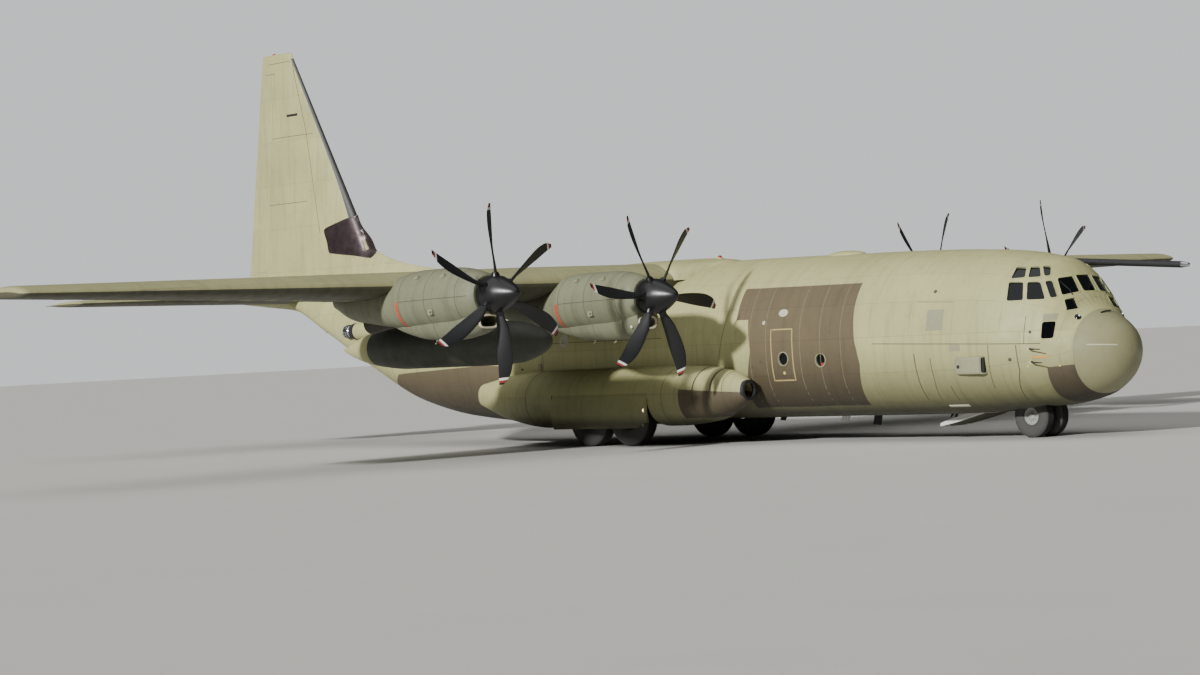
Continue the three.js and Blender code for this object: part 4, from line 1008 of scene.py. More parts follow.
def buildMarks():
    frames, hatch = skinMarks["frames"], skinMarks["hatch"]
    lines = [(places, width, 2, 0, 10, both) for width, places, both in skinMarks["seams"]]
    for s in frames["stations"]:
        lines.append(([(s, frames["high"]), (s, frames["low"])], frames["width"], 2, 2, 20, True))
    lines.append((hatch["corners"], hatch["width"], 3, 1, 10, True))
    shape, glass = Shape(), Shape()
    for places, width, rise, slot, count, both in lines:
        for side in bothSides if both else (-1,):
            shape.join(skinLine(places, side, width, rise, slot, count))
    for s0, s1, z0, z1, rise, slot in skinMarks["squares"]:
        for side in bothSides:
            shape.join(skinGrid([(s0, z0), (s1, z0), (s1, z1), (s0, z1)], side, rise, slot))
    for s, z, a, b, rise, slot, both in skinMarks["discs"]:
        for side in bothSides if both else (-1,):
            shape.join(skinDisc(s, z, side, a, rise, slot, b))
    radius = roundWindows["radius"]
    outer = radius + roundWindows["rim"]
    for place in roundWindows["places"]:
        for side in bothSides:
            middle, out = nearestOnHull(*place, side), port * side
            shape.lathe([(-30, radius + 1), (7, radius + 1), (5, outer), (-30, outer), (-30, radius + 1)],
                        middle, out,
                        40, 2)
            high, low = [middle - out * (depth * k) for depth in roundWindows["glass"]]
            glass.rod(low, high, radius + 3, sides=40)
    makePiece("skinMarks", shape, [lineDark, outlinePaint, panelGreen, palePaint, ochre, paleYellow, signalRed])
    makePiece("holdWindows", glass, [glassDark], slot="window_glass")


def buildFittings():
    dome, strip, pitots, lamp = [fittings[key] for key in ("roofDome", "radomeStrip", "pitots", "noseLamp")]
    shape, dark = Shape(), Shape()
    shape.ball(at(dome["station"], 0, dome["z"]), dome["size"], 40, 20)
    body, inner = [[superRing(s, (scoop["y"] - shift, scoop["z"], half, tall, tall, 7), 48, upPower=7)
                    for s, half, tall in scoop[key]] for key, shift in (("rings", 0), ("inner", 4))]
    body = carve(solid("scoop", body), Shape().loft(inner), planForm(scoop["slant"], 1400, 2100))
    makePiece("scoop", body, [panelGreen], sharp=30)
    # The intake's mouth and its small hole are filled with black: painted shade
    for sizes in scoop["dark"]:
        dark.block(*sizes)
    s, z, radius = scoop["hole"]
    dark.rod(at(s, scoop["y"], z), at(s, scoop["y"] - 133, z), radius, sides=24)
    dark.pipe([at(*place) for place in fittings["noseBar"]], 16)
    for s, z in pitots["masts"]:
        for side in bothSides:
            root = nearestOnHull(s, z, side)
            out = skinNormal(root)
            head = root + out * (pitots["stand"] * k)
            path = [head + Vector((x, 0, z)) * k for x, z in pitots["path"]]
            dark.pipe([root + out * (pitots["foot"] * k)] + path, pitots["radius"], 16)
            shape.join(skinDisc(s + 10, z, side, 60, 10))
    for s0, s1, low in fittings["aerials"]:
        dark.join(sideForm([(s0, 600), (s1 + 60, 600), (s1 + 110, low + 20), (s0 + 70, low)], -14, 14))
    white = sideForm(fittings["paleAerial"], -16, 16)
    s, z, radius = lamp["station"], lamp["z"], lamp["radius"]
    for side in bothSides:
        dark.join(skinDisc(s, z, side, radius, 10))
        dark.join(skinDisc(s, z, side, radius * 0.66, 14, 1, dome=26))
        white.join(skinDisc(s - 10, z + 6, side, radius * 0.28, 44, 1))
        # the radome strip's pale paint is a painted highlight on a real strip
        white.join(skinLine(strip["places"], side, strip["width"], strip["rise"], 2))
    makePiece("fittings", shape, [plainPaint])
    makePiece("darkFittings", dark, [blackPaint, glassDark], slot="probe_black")
    makePiece("whiteFittings", white, [signalWhite, lampGlass, palePaint])


noseDoor = {
    "front": (4000, 622),
    "back": (5350, 325),
    "half": 520,
    "thickness": 30,
    "sag": 16,
    "ribs": (0.08, 0.3, 0.52, 0.74, 0.94),
    "linkY": 330,
    "flange": (22, 62),
    "stayTop": 640,
}


def buildNoseDoor():  # hangs open behind the nose leg
    (s0, z0), (s1, z1) = noseDoor["front"], noseDoor["back"]
    half, thick = noseDoor["half"], noseDoor["thickness"]
    shape = Shape()
    rings = []
    for t in spread(0, 1, 24):
        wide = half * min(1.0, 0.9 + 0.1 * math.sin(math.pi * t) ** 0.35)
        s, z = mix(s0, s1, t), mix(z0, z1, t)
        low = z - thick - noseDoor["sag"] * math.sin(math.pi * t)
        outline = ((-wide, z - 8), (wide, z - 8), (wide * 0.97, low), (0, low - 10), (-wide * 0.97, low))
        rings.append([at(s, y, z) for y, z in outline])
    shape.loft(rings, lambda r, i: 1 if i in (0, 1, 4) else 0)
    for t in noseDoor["ribs"]:
        s, z = mix(s0, s1, t), mix(z0, z1, t)
        shape.block(s - 12, s + 12, -half * 0.88, half * 0.88, z - 30, z + 24, 1)
    for side in bothSides:
        flange = []  # along the edge, taller in the middle
        low, rise = noseDoor["flange"]
        y = side * half * 0.93
        for i, t in enumerate(spread(0, 1, 12)):
            s, z = mix(s0, s1, t), mix(z0, z1, t)
            tall = low + rise * math.sin(math.pi * (i + 0.5) / 13) ** 0.5
            flange.append([at(s, y - 9, z - 20), at(s, y + 9, z - 20), at(s, y + 9, z + tall),
                           at(s, y - 9, z + tall)])
        shape.loft(flange, 1)
        y, foot = side * noseDoor["linkY"], s1 - 130
        shape.rod(at(foot, y, z1 + 10), at(foot - 250, y, noseDoor["stayTop"]), 24, sides=20, slot=1)
        shape.rod(at(foot, y - side * 40, z1 + 18), at(foot, y + side * 40, z1 + 18), 34, sides=20, slot=1)
        shape.pipe([at(s0 + 40, y, z0 - 6), at(s0 + 20, y, z0 + 60), at(s0 - 60, y, z0 + 110)], 22, 12, 1)
    makePiece("noseGearDoor", shape, [hullPaint, gearWhite], sharp=30)


pods = {  # sensor pods with a turret at the aft end; rows: station, radius, y, z
    "rows": [(23900, 60, 1950, 3390), (24500, 200, 1900, 3360), (25300, 240, 1850, 3330),
             (25700, 240, 1812, 3320)],
    "end": (25930, 1806, 3318),
    "ball": (26140, 1802, 3316),
    "drum": [(0, 0), (0, 0.95), (0.15, 0.95), (0.18, 1), (0.55, 1), (0.58, 0.9), (1, 0.9), (1, 0)],
    "radius": 240,
    "neck": 150,
    "ballRadius": 195,
    "rings": [(-0.35, 0.99), (0.05, 1.03), (0.45, 0.93)],  # place along the ball, radius
    "lenses": [(0.6, 0.9, -0.35), (0.6, 0.1, 0.5)],
    "lens": [(0, 0), (0, 0.42), (0.14, 0.42), (0.14, 0.32), (0.06, 0.3), (0.06, 0)],
}


def buildPods():
    rows = pods["rows"]
    curves = rowCurves(rows)
    rings = []
    for t in spread(0, 1, 29):
        s = mix(rows[0][0], rows[-1][0], t ** 1.2)
        radius, y, z = curves(s)
        rings.append(superRing(s, (y, z, radius, radius, radius, 2), 40))
    shape = Shape().loft(rings)
    start, end, centre = at(rows[-1][0], *rows[-1][2:]), at(*pods["end"]), at(*pods["ball"])
    axis = (end - start).normalized()
    r, length, ball = pods["radius"], (end - start).length / k, pods["ballRadius"]
    shape.lathe([(a * length, b * r) for a, b in pods["drum"]], start, axis, 48, 1)
    shape.rod(end - axis * (10 * k), centre, pods["neck"], sides=32, slot=1)
    shape.ball(centre, (ball, ball, ball), 36, 18, 2)
    for reach, wide in pods["rings"]:
        ring = [(-0.07, 0.8), (-0.07, wide), (0.07, wide), (0.07, 0.8), (-0.07, 0.8)]
        shape.lathe([(a * ball, b * ball) for a, b in ring], centre + axis * (ball * reach * k), axis, 40, 1)
    for reach, turn, tilt in pods["lenses"]:
        out = (axis * reach + Vector((0, turn, tilt))).normalized()
        profile = [(a * ball, b * ball) for a, b in pods["lens"]]
        shape.lathe(profile, centre + out * (ball * 0.93 * k), out, 28, [2, 2, 2, 1, 3])
    makePiece("sensorPods", shape.both(), [hullPaint, blackPaint, chrome, glassDark], sharp=30)


hold = {
    "ribs": {"station": 8100, "from": -26, "to": 206, "depth": 85, "width": 22, "step": 510, "count": 22},
    "rollers": {"station": 4400, "y": (-1150, -420, 420, 1150), "z": 1046, "step": 260, "count": 64},
    "rings": {"station": 4300, "step": 500, "count": 34, "y": (-1320, -800, 0, 800, 1320), "z": 1036},
    "seats": {"y": 1890, "cushions": [(60, 95, 1500, 1900), (95, 130, 1420, 1520)], "step": 470, "count": 26},
}


def buildHold():  # frames, rollers, tie-down rings and folded seats in the hold
    ribs, rollers, tieDowns, seats = hold.values()
    inner, aside = skin["wall"] + 2, aft * (ribs["width"] * k)
    rings = []
    for angle in spread(ribs["from"], ribs["to"], 48):
        outer, low = [hullPoint(ribs["station"], math.radians(angle), inset)
                      for inset in (inner, inner + ribs["depth"])]
        rings.append([outer, low, low + aside, outer + aside])
    along("holdFrames", Shape().loft(rings), ribs["step"], ribs["count"], primer, "hollow_skin_paint")
    roller = Shape()
    for y in rollers["y"]:
        s, z = rollers["station"], rollers["z"]
        roller.rod(at(s, y - 90, z), at(s, y + 90, z), 24, sides=12)
    along("floorRollers", roller, rollers["step"], rollers["count"], bareSteel, "bare_metal")
    spots = [(at(tieDowns["station"] + tieDowns["step"] * i, y, tieDowns["z"]), up)
             for i in range(tieDowns["count"])
             for y in tieDowns["y"]]
    studs("tieDowns", spots, 42, 10, "airframe", bareSteel, "bare_metal", 12)
    seat = Shape()
    for side in bothSides:
        y = side * seats["y"]
        for a, b, low, high in seats["cushions"]:
            seat.block(5000, 5430, y - side * a, y - side * b, low, high)
        seat.rod(at(4990, y - side * 70, 1400), at(4990, y - side * 70, 1950), 14, sides=10)
    along("wallSeats", seat, seats["step"], seats["count"], seatCloth, "hollow_skin_paint")

# Wing, tail and fin: aerofoil sections from the same formula as the frame's solids, with more points
foil = {"steps": 26, "edge": 12}  # points along one side of a section; thickness of the trailing edge
fractions = [0.5 * (1 + math.cos(a)) for a in spread(0, math.pi, foil["steps"])]
foilLook = {"slot": "hollow_skin_paint", "sharp": 30}
# Undersides of the wing, flaps, ailerons and tailplane take the dark underside paint, and their tops the top
# paint: the darker underside is painted shade
wingLook = {"materials": (wingPaint, wingTopPaint), "tops": True, **foilLook}


def sectionOf(station, chord, ratio, height=0, tilt=0, camber=0):
    return {"station": station, "chord": chord, "ratio": ratio, "height": height, "tilt": tilt,
            "camber": camber}


def halfThickness(f):
    return 5 * (0.2969 * math.sqrt(f) - 0.126 * f - 0.3516 * f * f + 0.2843 * f ** 3 - 0.1015 * f ** 4)


def camberAt(f, height, crest=0.4):
    if f < crest:
        return height / crest ** 2 * (2 * crest * f - f * f)
    return height / (1 - crest) ** 2 * (1 - 2 * crest + 2 * crest * f - f * f)


def thickness(section, f):  # half thickness at a share of the chord
    return section["ratio"] * halfThickness(f) * section["chord"]


def shareAt(section, s):
    return (s - section["station"]) / section["chord"]


def sectionPoint(section, f, side):
    half = max(section["ratio"] * halfThickness(f), foil["edge"] / 2 / section["chord"])
    rise = (camberAt(f, section["camber"]) + side * half) * section["chord"]
    back, tilt = f * section["chord"], math.radians(section["tilt"])
    return (section["station"] + back * math.cos(tilt) + rise * math.sin(tilt),
            section["height"] - back * math.sin(tilt) + rise * math.cos(tilt))


def sectionRing(section, place):
    upper = [sectionPoint(section, f, 1) for f in fractions]
    lower = [sectionPoint(section, f, -1) for f in fractions[:-1]]
    return [place(s, h) for s, h in upper + lower[::-1]]


def mixed(a, b, t):
    return {key: mix(a[key], b[key], t) for key in a}


def rounded(end, cap, steps=6):  # sections that round off a tip, from its last full one to its cap
    made = []
    for t in [i / steps * 0.985 for i in range(1, steps + 1)]:
        section = mixed(end, cap, 1 - math.sqrt(1 - t * t))
        section["ratio"] = end["ratio"] * math.sqrt(1 - t * t)
        made.append((math.sin(t * math.pi / 2), section))
    return made


wing = {
    "root": sectionOf(13070, 4880, 0.18, 4170, 3, 0.02),
    "end": sectionOf(13500, 2440, 0.12, 4330, 0, 0.02),
    "cap": sectionOf(13760, 1850, 0.05, 4340, 0, 0.02),
    "jointY": 5590,
    "tipY": 20000,
    "capY": 20205,
}
tail = {"root": sectionOf(29150, 4250, 0.11, 4480), "end": sectionOf(30330, 1850, 0.09, 4480), "tipY": 8020,
        "cap": sectionOf(30450, 1590, 0.09, 4480), "capDepth": 130}
finForm = {
    "foot": sectionOf(26600, 6780, 0.1),
    "root": sectionOf(26720, 6660, 0.1),
    "end": sectionOf(30600, 1500, 0.11),
    "cap": sectionOf(30950, 1050, 0.05),
    "levels": (4640, 5240, 8000, 11700),
    "footZ": 4400,
    "capZ": 11840,
}
dorsal = rowCurves([(22600, 4640, 30), (24150, 4960, 110), (26000, 5300, 200), (27400, 5760, 230),
                    (28200, 5900, 120)])
aileron = {"from": 12350, "to": 19150, "fraction": 0.76, "gap": 20}
flapSets = {
    "Inner": {"from": 2300, "to": 5550, "tracks": [2900, 4950], "gap": running},
    "Outer": {"from": 5640, "to": 12250, "tracks": [6900, 11200], "gap": 4.2 * running},
}
flapForm = {"nose": 0.74, "drop": 500, "above": 60, "half": 20, "thickness": 36, "first": -8, "last": 38,
            "spare": 3,
            "play": 4}
elevator = {"ends": (860, 7800), "station": 31780}
rudder = {"from": (32350, 5300), "to": (31560, 11250)}
pinRadius, pinPlay, noseShare = 25, 6, 0.96


def wingAt(y):
    t = (abs(y) - wing["jointY"]) / (wing["tipY"] - wing["jointY"])
    return mixed(wing["root"], wing["end"], max(0, t))


def tailAt(y):
    return mixed(tail["root"], tail["end"], abs(y) / tail["tipY"])


def finAt(z):
    low, high = finForm["levels"][0], finForm["levels"][-1]
    return mixed(finForm["root"], finForm["end"], (z - low) / (high - low))


def across(y):
    return lambda s, h: at(s, y, h)


def upright(z):
    return lambda s, h: at(s, h, z)


def hingeOf(section, fraction):
    s, upper = sectionPoint(section, fraction, 1)
    lower = sectionPoint(section, fraction, -1)[1]
    return s, (upper + lower) / 2, (upper - lower) / 2


def aftRegion(a, b, grow, innerGap, outerGap, far=3000):  # everything aft of a line from a to b: (station, y)
    (s0, y0), (s1, y1) = a, b
    return planForm([(s0 - grow, y0 - innerGap), (s1 - grow, y1 + outerGap), (s1 + far, y1 + outerGap),
                     (s0 + far, y0 - innerGap)], 0, 9000)


def movingRing(section, fraction, place, blunt=1.0):  # a section aft of its hinge, with a round nose on it
    s, middle, radius = hingeOf(section, fraction)
    radius *= noseShare
    upper, lower = [[sectionPoint(section, f, side) for f in spread(1, fraction + 0.02, 12)]
                    for side in (1, -1)]
    nose = [(s - blunt * radius * math.sin(a), middle + radius * math.cos(a)) for a in spread(0, math.pi, 12)]
    return [place(*p) for p in upper + nose + lower[::-1]]


def moving(rings, start, end, reach):  # a control surface with its hinge pin
    extra = (end - start).normalized() * (reach * k)
    return Shape().loft(rings).rod(start - extra, end + extra, pinRadius)


def curvedBar(centre, axis, low, high, first, last, wide):
    rise = (up - axis * axis.z).normalized()
    back = rise.cross(axis)
    angles = [math.radians(v) for v in spread(first, last, 24)]
    arc = [centre + (back * math.sin(a) + rise * math.cos(a)) * (low * k) for a in angles]
    arc += [centre + (back * math.sin(a) + rise * math.cos(a)) * (high * k) for a in angles[::-1]]
    return Shape().plate(arc, axis * (-wide / 2 * k), axis * (wide / 2 * k))


def flapTracks(settings, play, side, extra):
    ends = settings["from"], settings["to"]
    start, end = [at(s, y, h - flapForm["drop"]) for y in ends for s, h,
                  _ in [hingeOf(wingAt(y), flapForm["nose"])]]
    axis = (end - start).normalized()
    radius = flapForm["drop"] + flapForm["above"]
    reach = flapForm["half"] + play
    bars = Shape()
    for y in settings["tracks"]:
        centre = start.lerp(end, (y - ends[0]) / (ends[1] - ends[0]))
        bars.join(curvedBar(centre, axis, radius - reach, radius + reach, flapForm["first"],
                            flapForm["last"] + extra,
                            flapForm["thickness"] + 2 * side))
    return bars


def buildWing():
    joint, tip = wing["jointY"], wing["tipY"]
    centre = solid("wingCentre", [sectionRing(wing["root"], across(y)) for y in (-joint, joint)])
    rings = [sectionRing(wingAt(y), across(y)) for y in (joint + 1.6, 9000, 14000, tip)]
    rings += [sectionRing(cut, across(mix(tip, wing["capY"], t))) for t,
              cut in rounded(wing["end"], wing["cap"])]
    outer = solid("wingOuter", rings)
    for which, parent in (("Inner", centre), ("Outer", outer)):
        settings = flapSets[which]
        ends = settings["from"], settings["to"]
        line = [(hingeOf(wingAt(y), flapForm["nose"])[0], y) for y in ends]
        room = aftRegion(*line, running, running, settings["gap"])
        carve(parent, room)
        if parent == centre:
            carve(parent, room.mirrored())
        rings = [movingRing(wingAt(y), flapForm["nose"] + 0.016, across(y), 0.28) for y in spread(*ends, 4)]
        flap = carve(solid("flap", rings), flapTracks(settings, flapForm["play"], 1, flapForm["spare"]))
        body = "flap_" + which.lower() + "_{}"
        makeSides("flap" + which, flap, body=body, node=body, **wingLook)
        makeSides("flapTracks" + which, flapTracks(settings, 0, 0, 0), [bareSteel], slot="bare_metal")
    ends = aileron["from"], aileron["to"]
    a, b = [hingeOf(wingAt(y), aileron["fraction"]) for y in ends]
    depth = max(a[2], b[2]) * noseShare + running
    carve(outer, aftRegion((a[0], ends[0]), (b[0], ends[1]), depth, aileron["gap"], aileron["gap"]))
    rings = [movingRing(wingAt(y), aileron["fraction"], across(y)) for y in spread(*ends, 4)]
    shape = moving(rings, at(a[0], ends[0], a[1]), at(b[0], ends[1], b[1]), aileron["gap"] - pinPlay)
    makeSides("aileron", shape, body="aileron_{}", node="aileron_{}", **wingLook)
    makePiece("wingCentre", centre, node="wing_centre", **wingLook)
    makeSides("wingOuter", outer, node="wing_outer_{}", **wingLook)


def buildTail():
    tip = tail["tipY"]
    last = tip - tail["capDepth"]
    rings = [sectionRing(tailAt(y), across(y)) for y in (0, tip / 2, last)]
    rings += [sectionRing(cut, across(mix(last, tip, t))) for t, cut in rounded(tailAt(last), tail["cap"])]
    other = [[mirrorY @ p for p in ring] for ring in rings[:0:-1]]
    s, ends = elevator["station"], elevator["ends"]
    hinges = [hingeOf(tailAt(y), shareAt(tailAt(y), s)) for y in ends]
    depth = max(hinge[2] for hinge in hinges) * noseShare + running
    room = aftRegion(*[(s, y) for y in ends], depth, running, running)
    makePiece("tailplane", carve(solid("tailplane", other + rings), room, room.mirrored()), node="tailplane",
              **wingLook)
    rings = [movingRing(tailAt(y), shareAt(tailAt(y), s), across(y)) for y in spread(*ends, 3)]
    reach = running - pinPlay
    start, end = at(s, ends[0] - reach, hinges[0][1]), at(s, ends[1] + reach, hinges[1][1])
    shape = Shape().loft(rings).rod(start, end, pinRadius)
    makeSides("elevator", shape, [wingTopPaint], "elevators", "elevator_{}", **foilLook)

    footZ, capZ, levels = finForm["footZ"], finForm["capZ"], finForm["levels"][1:]
    rings = [sectionRing(finForm["foot"], upright(footZ))] + [sectionRing(finAt(z), upright(z)) for z in levels]
    for t, cut in rounded(finForm["end"], finForm["cap"]):
        rings.append(sectionRing(cut, upright(mix(levels[-1], capZ, t))))
    (s0, z0), (s1, z1) = rudder.values()
    grow = thickness(finAt(z0), shareAt(finAt(z0), s0)) * noseShare + running
    room = sideForm([(s0 - grow, z0 - running), (s0 + 3000, z0 - running), (s0 + 3000, z1 + running),
                     (s1 - grow, z1 + running)], -800, 800)
    makePiece("fin", carve(solid("fin", rings), room), [finPaint], node="fin", **foilLook)
    rings = []
    for s in spread(22600, 28200, 28):
        top, side = dorsal(s)
        rings.append([at(s, side * 1.7 * math.cos(a) * (1 - 0.62 * math.sin(a)),
                         footZ + (top - footZ) * math.sin(a) ** 0.8)
                      for a in spread(0, math.pi, 16)])
    makePiece("dorsalFillet", Shape().loft(rings), [finPaint], slot="hollow_skin_paint")
    line = zip(spread(s0, s1, 4), spread(z0, z1, 4))
    rings = [movingRing(finAt(z), shareAt(finAt(z), s), upright(z)) for s, z in line]
    shape = moving(rings, at(s0, 0, z0), at(s1, 0, z1), running - pinPlay)
    makePiece("rudder", shape, [finPaint], "rudder", node="rudder", **foilLook)


finMarks = {
    "panel": [  # heat-shield sheet at the fin's foot: z, station of its front and rear edge
        (5449, 27121, 27121), (5587, 26969, 28050), (5692, 27020, 28872), (6000, 27200, 28970),
        (6388, 27600, 29107),
        (6560, 27720, 28550), (6747, 27800, 27830),
    ],
    "strip": [(6120, 270), (6700, 210), (7600, 130), (9000, 85), (11640, 60)],  # z, width
    "slot": (30296, 30843, 9895, 9965),
    "lines": [[(30650, 11560), (31750, 11560)], [(29900, 7300), (32000, 7300)], [(29600, 9300), (31700, 9300)],
              [(29300, 6300), (29900, 9400)], [(29900, 9400), (30560, 11480)]],
}


def finHalf(s, z):  # half thickness of the fin or its fillet at a place
    f, footZ = shareAt(finAt(z), s), finForm["footZ"]
    half = thickness(finAt(z), f) if 0 < f < 1 else 0.0
    top, side = dorsal(s)
    if 22600 < s < 28200 and z < top:
        n = ((z - footZ) / (top - footZ)) ** 1.25
        half = max(half, side * 1.7 * math.sqrt(1 - n * n) * (1 - 0.62 * n))
    return half


def finSheet(grid, side, rise, slot):  # grid: rows of (station, z)
    rows = [[(s, z, finHalf(s, z)) for s, z in row] for row in grid]
    return sheet([[(at(s, side * (y + rise), z), at(s, side * max(0.0, y - 8), z)) for s, z, y in row]
                  for row in rows],
                 slot)


def buildTailMarks():
    panel, strip, (s0, s1, z0, z1) = finMarks["panel"], finMarks["strip"], finMarks["slot"]
    edges = rowCurves(panel)
    grid = [[(s, z) for s in spread(*edges(z), 20)] for z in spread(panel[0][0] + 1, panel[-1][0], 22)]
    shape = Shape()
    for side in bothSides:
        shape.join(finSheet(grid, side, 7, 0))
        shape.join(finSheet([[(s, z) for s in spread(s0, s1, 4)] for z in (z0, z1)], side, 6, 1))
        for a, b in finMarks["lines"]:
            wide = Vector((a[1] - b[1], b[0] - a[0])).normalized() * 7
            row = list(zip(spread(a[0], b[0], 12), spread(a[1], b[1], 12)))
            rows = [[(s + sign * wide.x, z + sign * wide.y) for s, z in row] for sign in (1, -1)]
            shape.join(finSheet(rows, side, 2, 2))
    # The fin-foot sheet's brown tint is a painted reflection of warm surroundings
    makePiece("finMarks", shape, [steelSheetReflectionTint, blackPaint, lineDark], sharp=40)
    width = rowCurves(strip)
    rings = []
    for z in spread(strip[0][0], strip[-1][0], 24):
        section = finAt(z)
        front, reach = section["station"], width(z)[0]
        ring = [(front + f * reach - 2, thickness(section, f * reach / section["chord"]) + 5)
                for f in (1.0, 0.7, 0.4, 0.18, 0.05)]
        rings.append([at(s, h, z) for s, h in ring + [(front - 7, 0)] + [(s, -h) for s, h in ring[::-1]]])
    makePiece("finLeadingStrip", Shape().loft(rings), [erosionGrey], slot="probe_black", sharp=60)


wingFittings = {
    "fairing": [  # station, half width, top
        (12300, 500, 4590), (12700, 1150, 4640), (13300, 1650, 4690), (14600, 1850, 4705), (16200, 1800, 4680),
        (17600, 1500, 4620), (18700, 600, 4590),
    ],
    "beacon": 12900,
    "tailLamp": (34300, 4570),
    "finLamp": (31500, 11830),
    "tipLamp": (13900, 20120, 4375),
    "hatches": {"shares": (0.3, 0.52), "first": 6300, "last": 18460, "count": 16, "radius": 150},
    "wicks": {"wing": (19300, 19550, 19800, 20000), "tail": (7850, 7950)},
}


def buildWingFittings():
    rows, hatches, wicks = wingFittings["fairing"], wingFittings["hatches"], wingFittings["wicks"]
    curves = rowCurves(rows)
    rings = []
    for s in spread(rows[0][0], rows[-1][0], 32):
        half, top = curves(s)
        rings.append([at(s, half * math.cos(a), 4150 + (top - 4150) * math.sin(a) ** 0.55)
                      for a in spread(0, math.pi, 32)])
    makePiece("wingFairing", Shape().loft(rings), [hullPaint], sharp=40)
    s = wingFittings["beacon"]
    top = curves(s)[1]
    base = Shape().rod(at(s, 0, top - 30), at(s, 0, top + 26), 95, 80, 32)
    (tailS, tailZ), (finS, finZ), (tipS, tipY, tipZ) = [wingFittings[key]
                                                        for key in ("tailLamp", "finLamp", "tipLamp")]
    lamps = Shape().ball(at(s, 0, top + 28), (58, 58, 62), 24, 12)
    lamps.ball(at(tailS, 0, tailZ), (70, 40, 40), 20, 10, 2)
    lamps.ball(at(finS, 0, finZ), (80, 40, 45), 20, 10)
    for side in bothSides:
        lamps.ball(at(tipS, side * tipY, tipZ), (150, 70, 40), 24, 12, 0 if side > 0 else 1)
    makePiece("beacons", lamps, [redLens, greenLens, lampGlass], slot="window_glass")
    makePiece("beaconBase", base, [plainPaint])
    spots = []
    for f in hatches["shares"]:
        for y in spread(hatches["first"], hatches["last"], hatches["count"]):
            (s, h), (s1, h1) = [sectionPoint(wingAt(y), share, -1) for share in (f, f + 0.01)]
            out = (at(s1, y, h1) - at(s, y, h)).cross(port).normalized()
            if out.z > 0:
                out.negate()
            if min(abs(y - e[2]) for e in engines) > 800 and abs(y - tank["y"]) > 300:
                spots += [(at(s, y, h), out), (at(s, -y, h), out)]
    studs("wingHatches", spots, hatches["radius"], 10, "airframe", plainPaint, "hollow_skin_paint", 28)
    spots = []
    for y in wicks["wing"]:
        s, h = sectionPoint(wingAt(y), 1, 1)
        spots += [(at(s + 60, side * y, h - 6), (-1, 0, -0.05)) for side in bothSides]
    for y in wicks["tail"]:
        s, h = sectionPoint(tailAt(y), 1, 1)
        spots += [(at(s - 20, side * y, h - 6), (-1, 0, 0)) for side in bothSides]
    studs("staticWicks", spots, 9, 210, "airframe", blackPaint, "probe_black", 8)


buildWing()
buildTail()
buildTailMarks()
print("wing and tail made")

# Engines: nacelle about its hub (station, half width, top, middle, bottom, power of the lower curve)
nacelleForm = {
    "rows": [
        (10425, 440, 440, 0, -480, 2),
        (10550, 530, 520, -10, -570, 2),
        (11500, 660, 670, -30, -700, 2.1),
        (12600, 660, 665, -50, -700, 2.2),
        (13350, 640, 560, -70, -650, 2.3),
        (15000, 520, 400, -40, -470, 2.2),
        (16000, 160, 210, 60, -120, 2),
    ],
    "chin": [
        (10425, 335, -320, -470, -800, 2.6),
        (10700, 370, -320, -520, -900, 2.4),
        (11500, 400, -320, -560, -1000, 2.2),
        (12500, 370, -320, -560, -960, 2),
        (13300, 260, -340, -520, -800, 2),
        (13900, 120, -380, -480, -600, 2),
    ],
    "sides": 72,
    "step": 120,
    "intake": {"halfWidth": 270, "half": 130, "z": -610, "depth": 480, "taper": -30, "ahead": 60},
    "shaftRoom": (260, 360),  # depth, radius
    "lip": {"station": 10439, "grow": 14, "radii": (26, 34)},
    "bands": {"stations": [10900, 11950, 12880], "width": 12},
    "fireband": {"station": 12960, "width": 90, "angles": [(-68, 0), (180, 248)]},
    "seam": (10445, 12870),
    "lamp": (10620, 360, -700),
    "door": (11750, -330),
    "drains": [(11500, 90), (12250, 120)],
    "vents": [11350, 12300],
    "exhaust": {"from": (12800, -250), "to": (14750, -520), "radius": 235},
    "core": [((10700, -60), (12950, -160), 365, 32), ((10401, 0), (11000, 0), 150, 24)],
}
propeller = {
    "station": 10100,
    "blades": 6,
    "spinner": [(-300, 0), (-300, 400), (-285, 412), (-190, 420), (-186, 412), (-178, 412), (-174, 421),
                (0, 425),
                (110, 408), (280, 340), (420, 268), (540, 198), (630, 138), (695, 82), (730, 38), (740, 0)],
    "cuff": [(330, 0), (330, 112), (440, 98), (500, 70), (500, 0)],
    "rows": [  # radius, chord, thickness, blade angle, backward sweep
        (300, 160, 150, 60, 0),
        (430, 175, 120, 58, 0),
        (850, 290, 60, 47, -30),
        (1450, 350, 32, 35, -10),
        (1850, 270, 20, 29, 50),
        (2055, 110, 12, 27, 150),
    ],
    "bands": [(1905, 1960), (1960, 2015)],  # white, then red, near the tips
}
engines = [  # number, side, y, hub z, blade angle at rest
    (1, 1, 9975, 3900, 12),
    (2, 1, 5020, 3710, 40),
    (3, -1, 5020, 3710, 25),
    (4, -1, 9975, 3900, 5),
]


def nacelleSection(rows, y, hubZ):  # the section of a nacelle at any station
    curves = rowCurves(rows)

    def sectionAt(s):
        wide, top, middle, low, power = curves(s)
        return y, hubZ + middle, wide, top - middle, middle - low, power

    return sectionAt


def nacelleShape(rows, sectionAt):
    first, last = rows[0][0], rows[-1][0]
    count = round((last - first) / nacelleForm["step"])
    stations = [mix(first, last, t ** 1.35) for t in spread(0, 1, count)]
    return Shape().loft([superRing(s, sectionAt(s), nacelleForm["sides"]) for s in stations])


def intakeOutline(s, y, hubZ, grow):
    form = nacelleForm["intake"]
    return superRing(s, (y, hubZ + form["z"], form["halfWidth"], form["half"], form["half"], 3), 40, grow, 3)


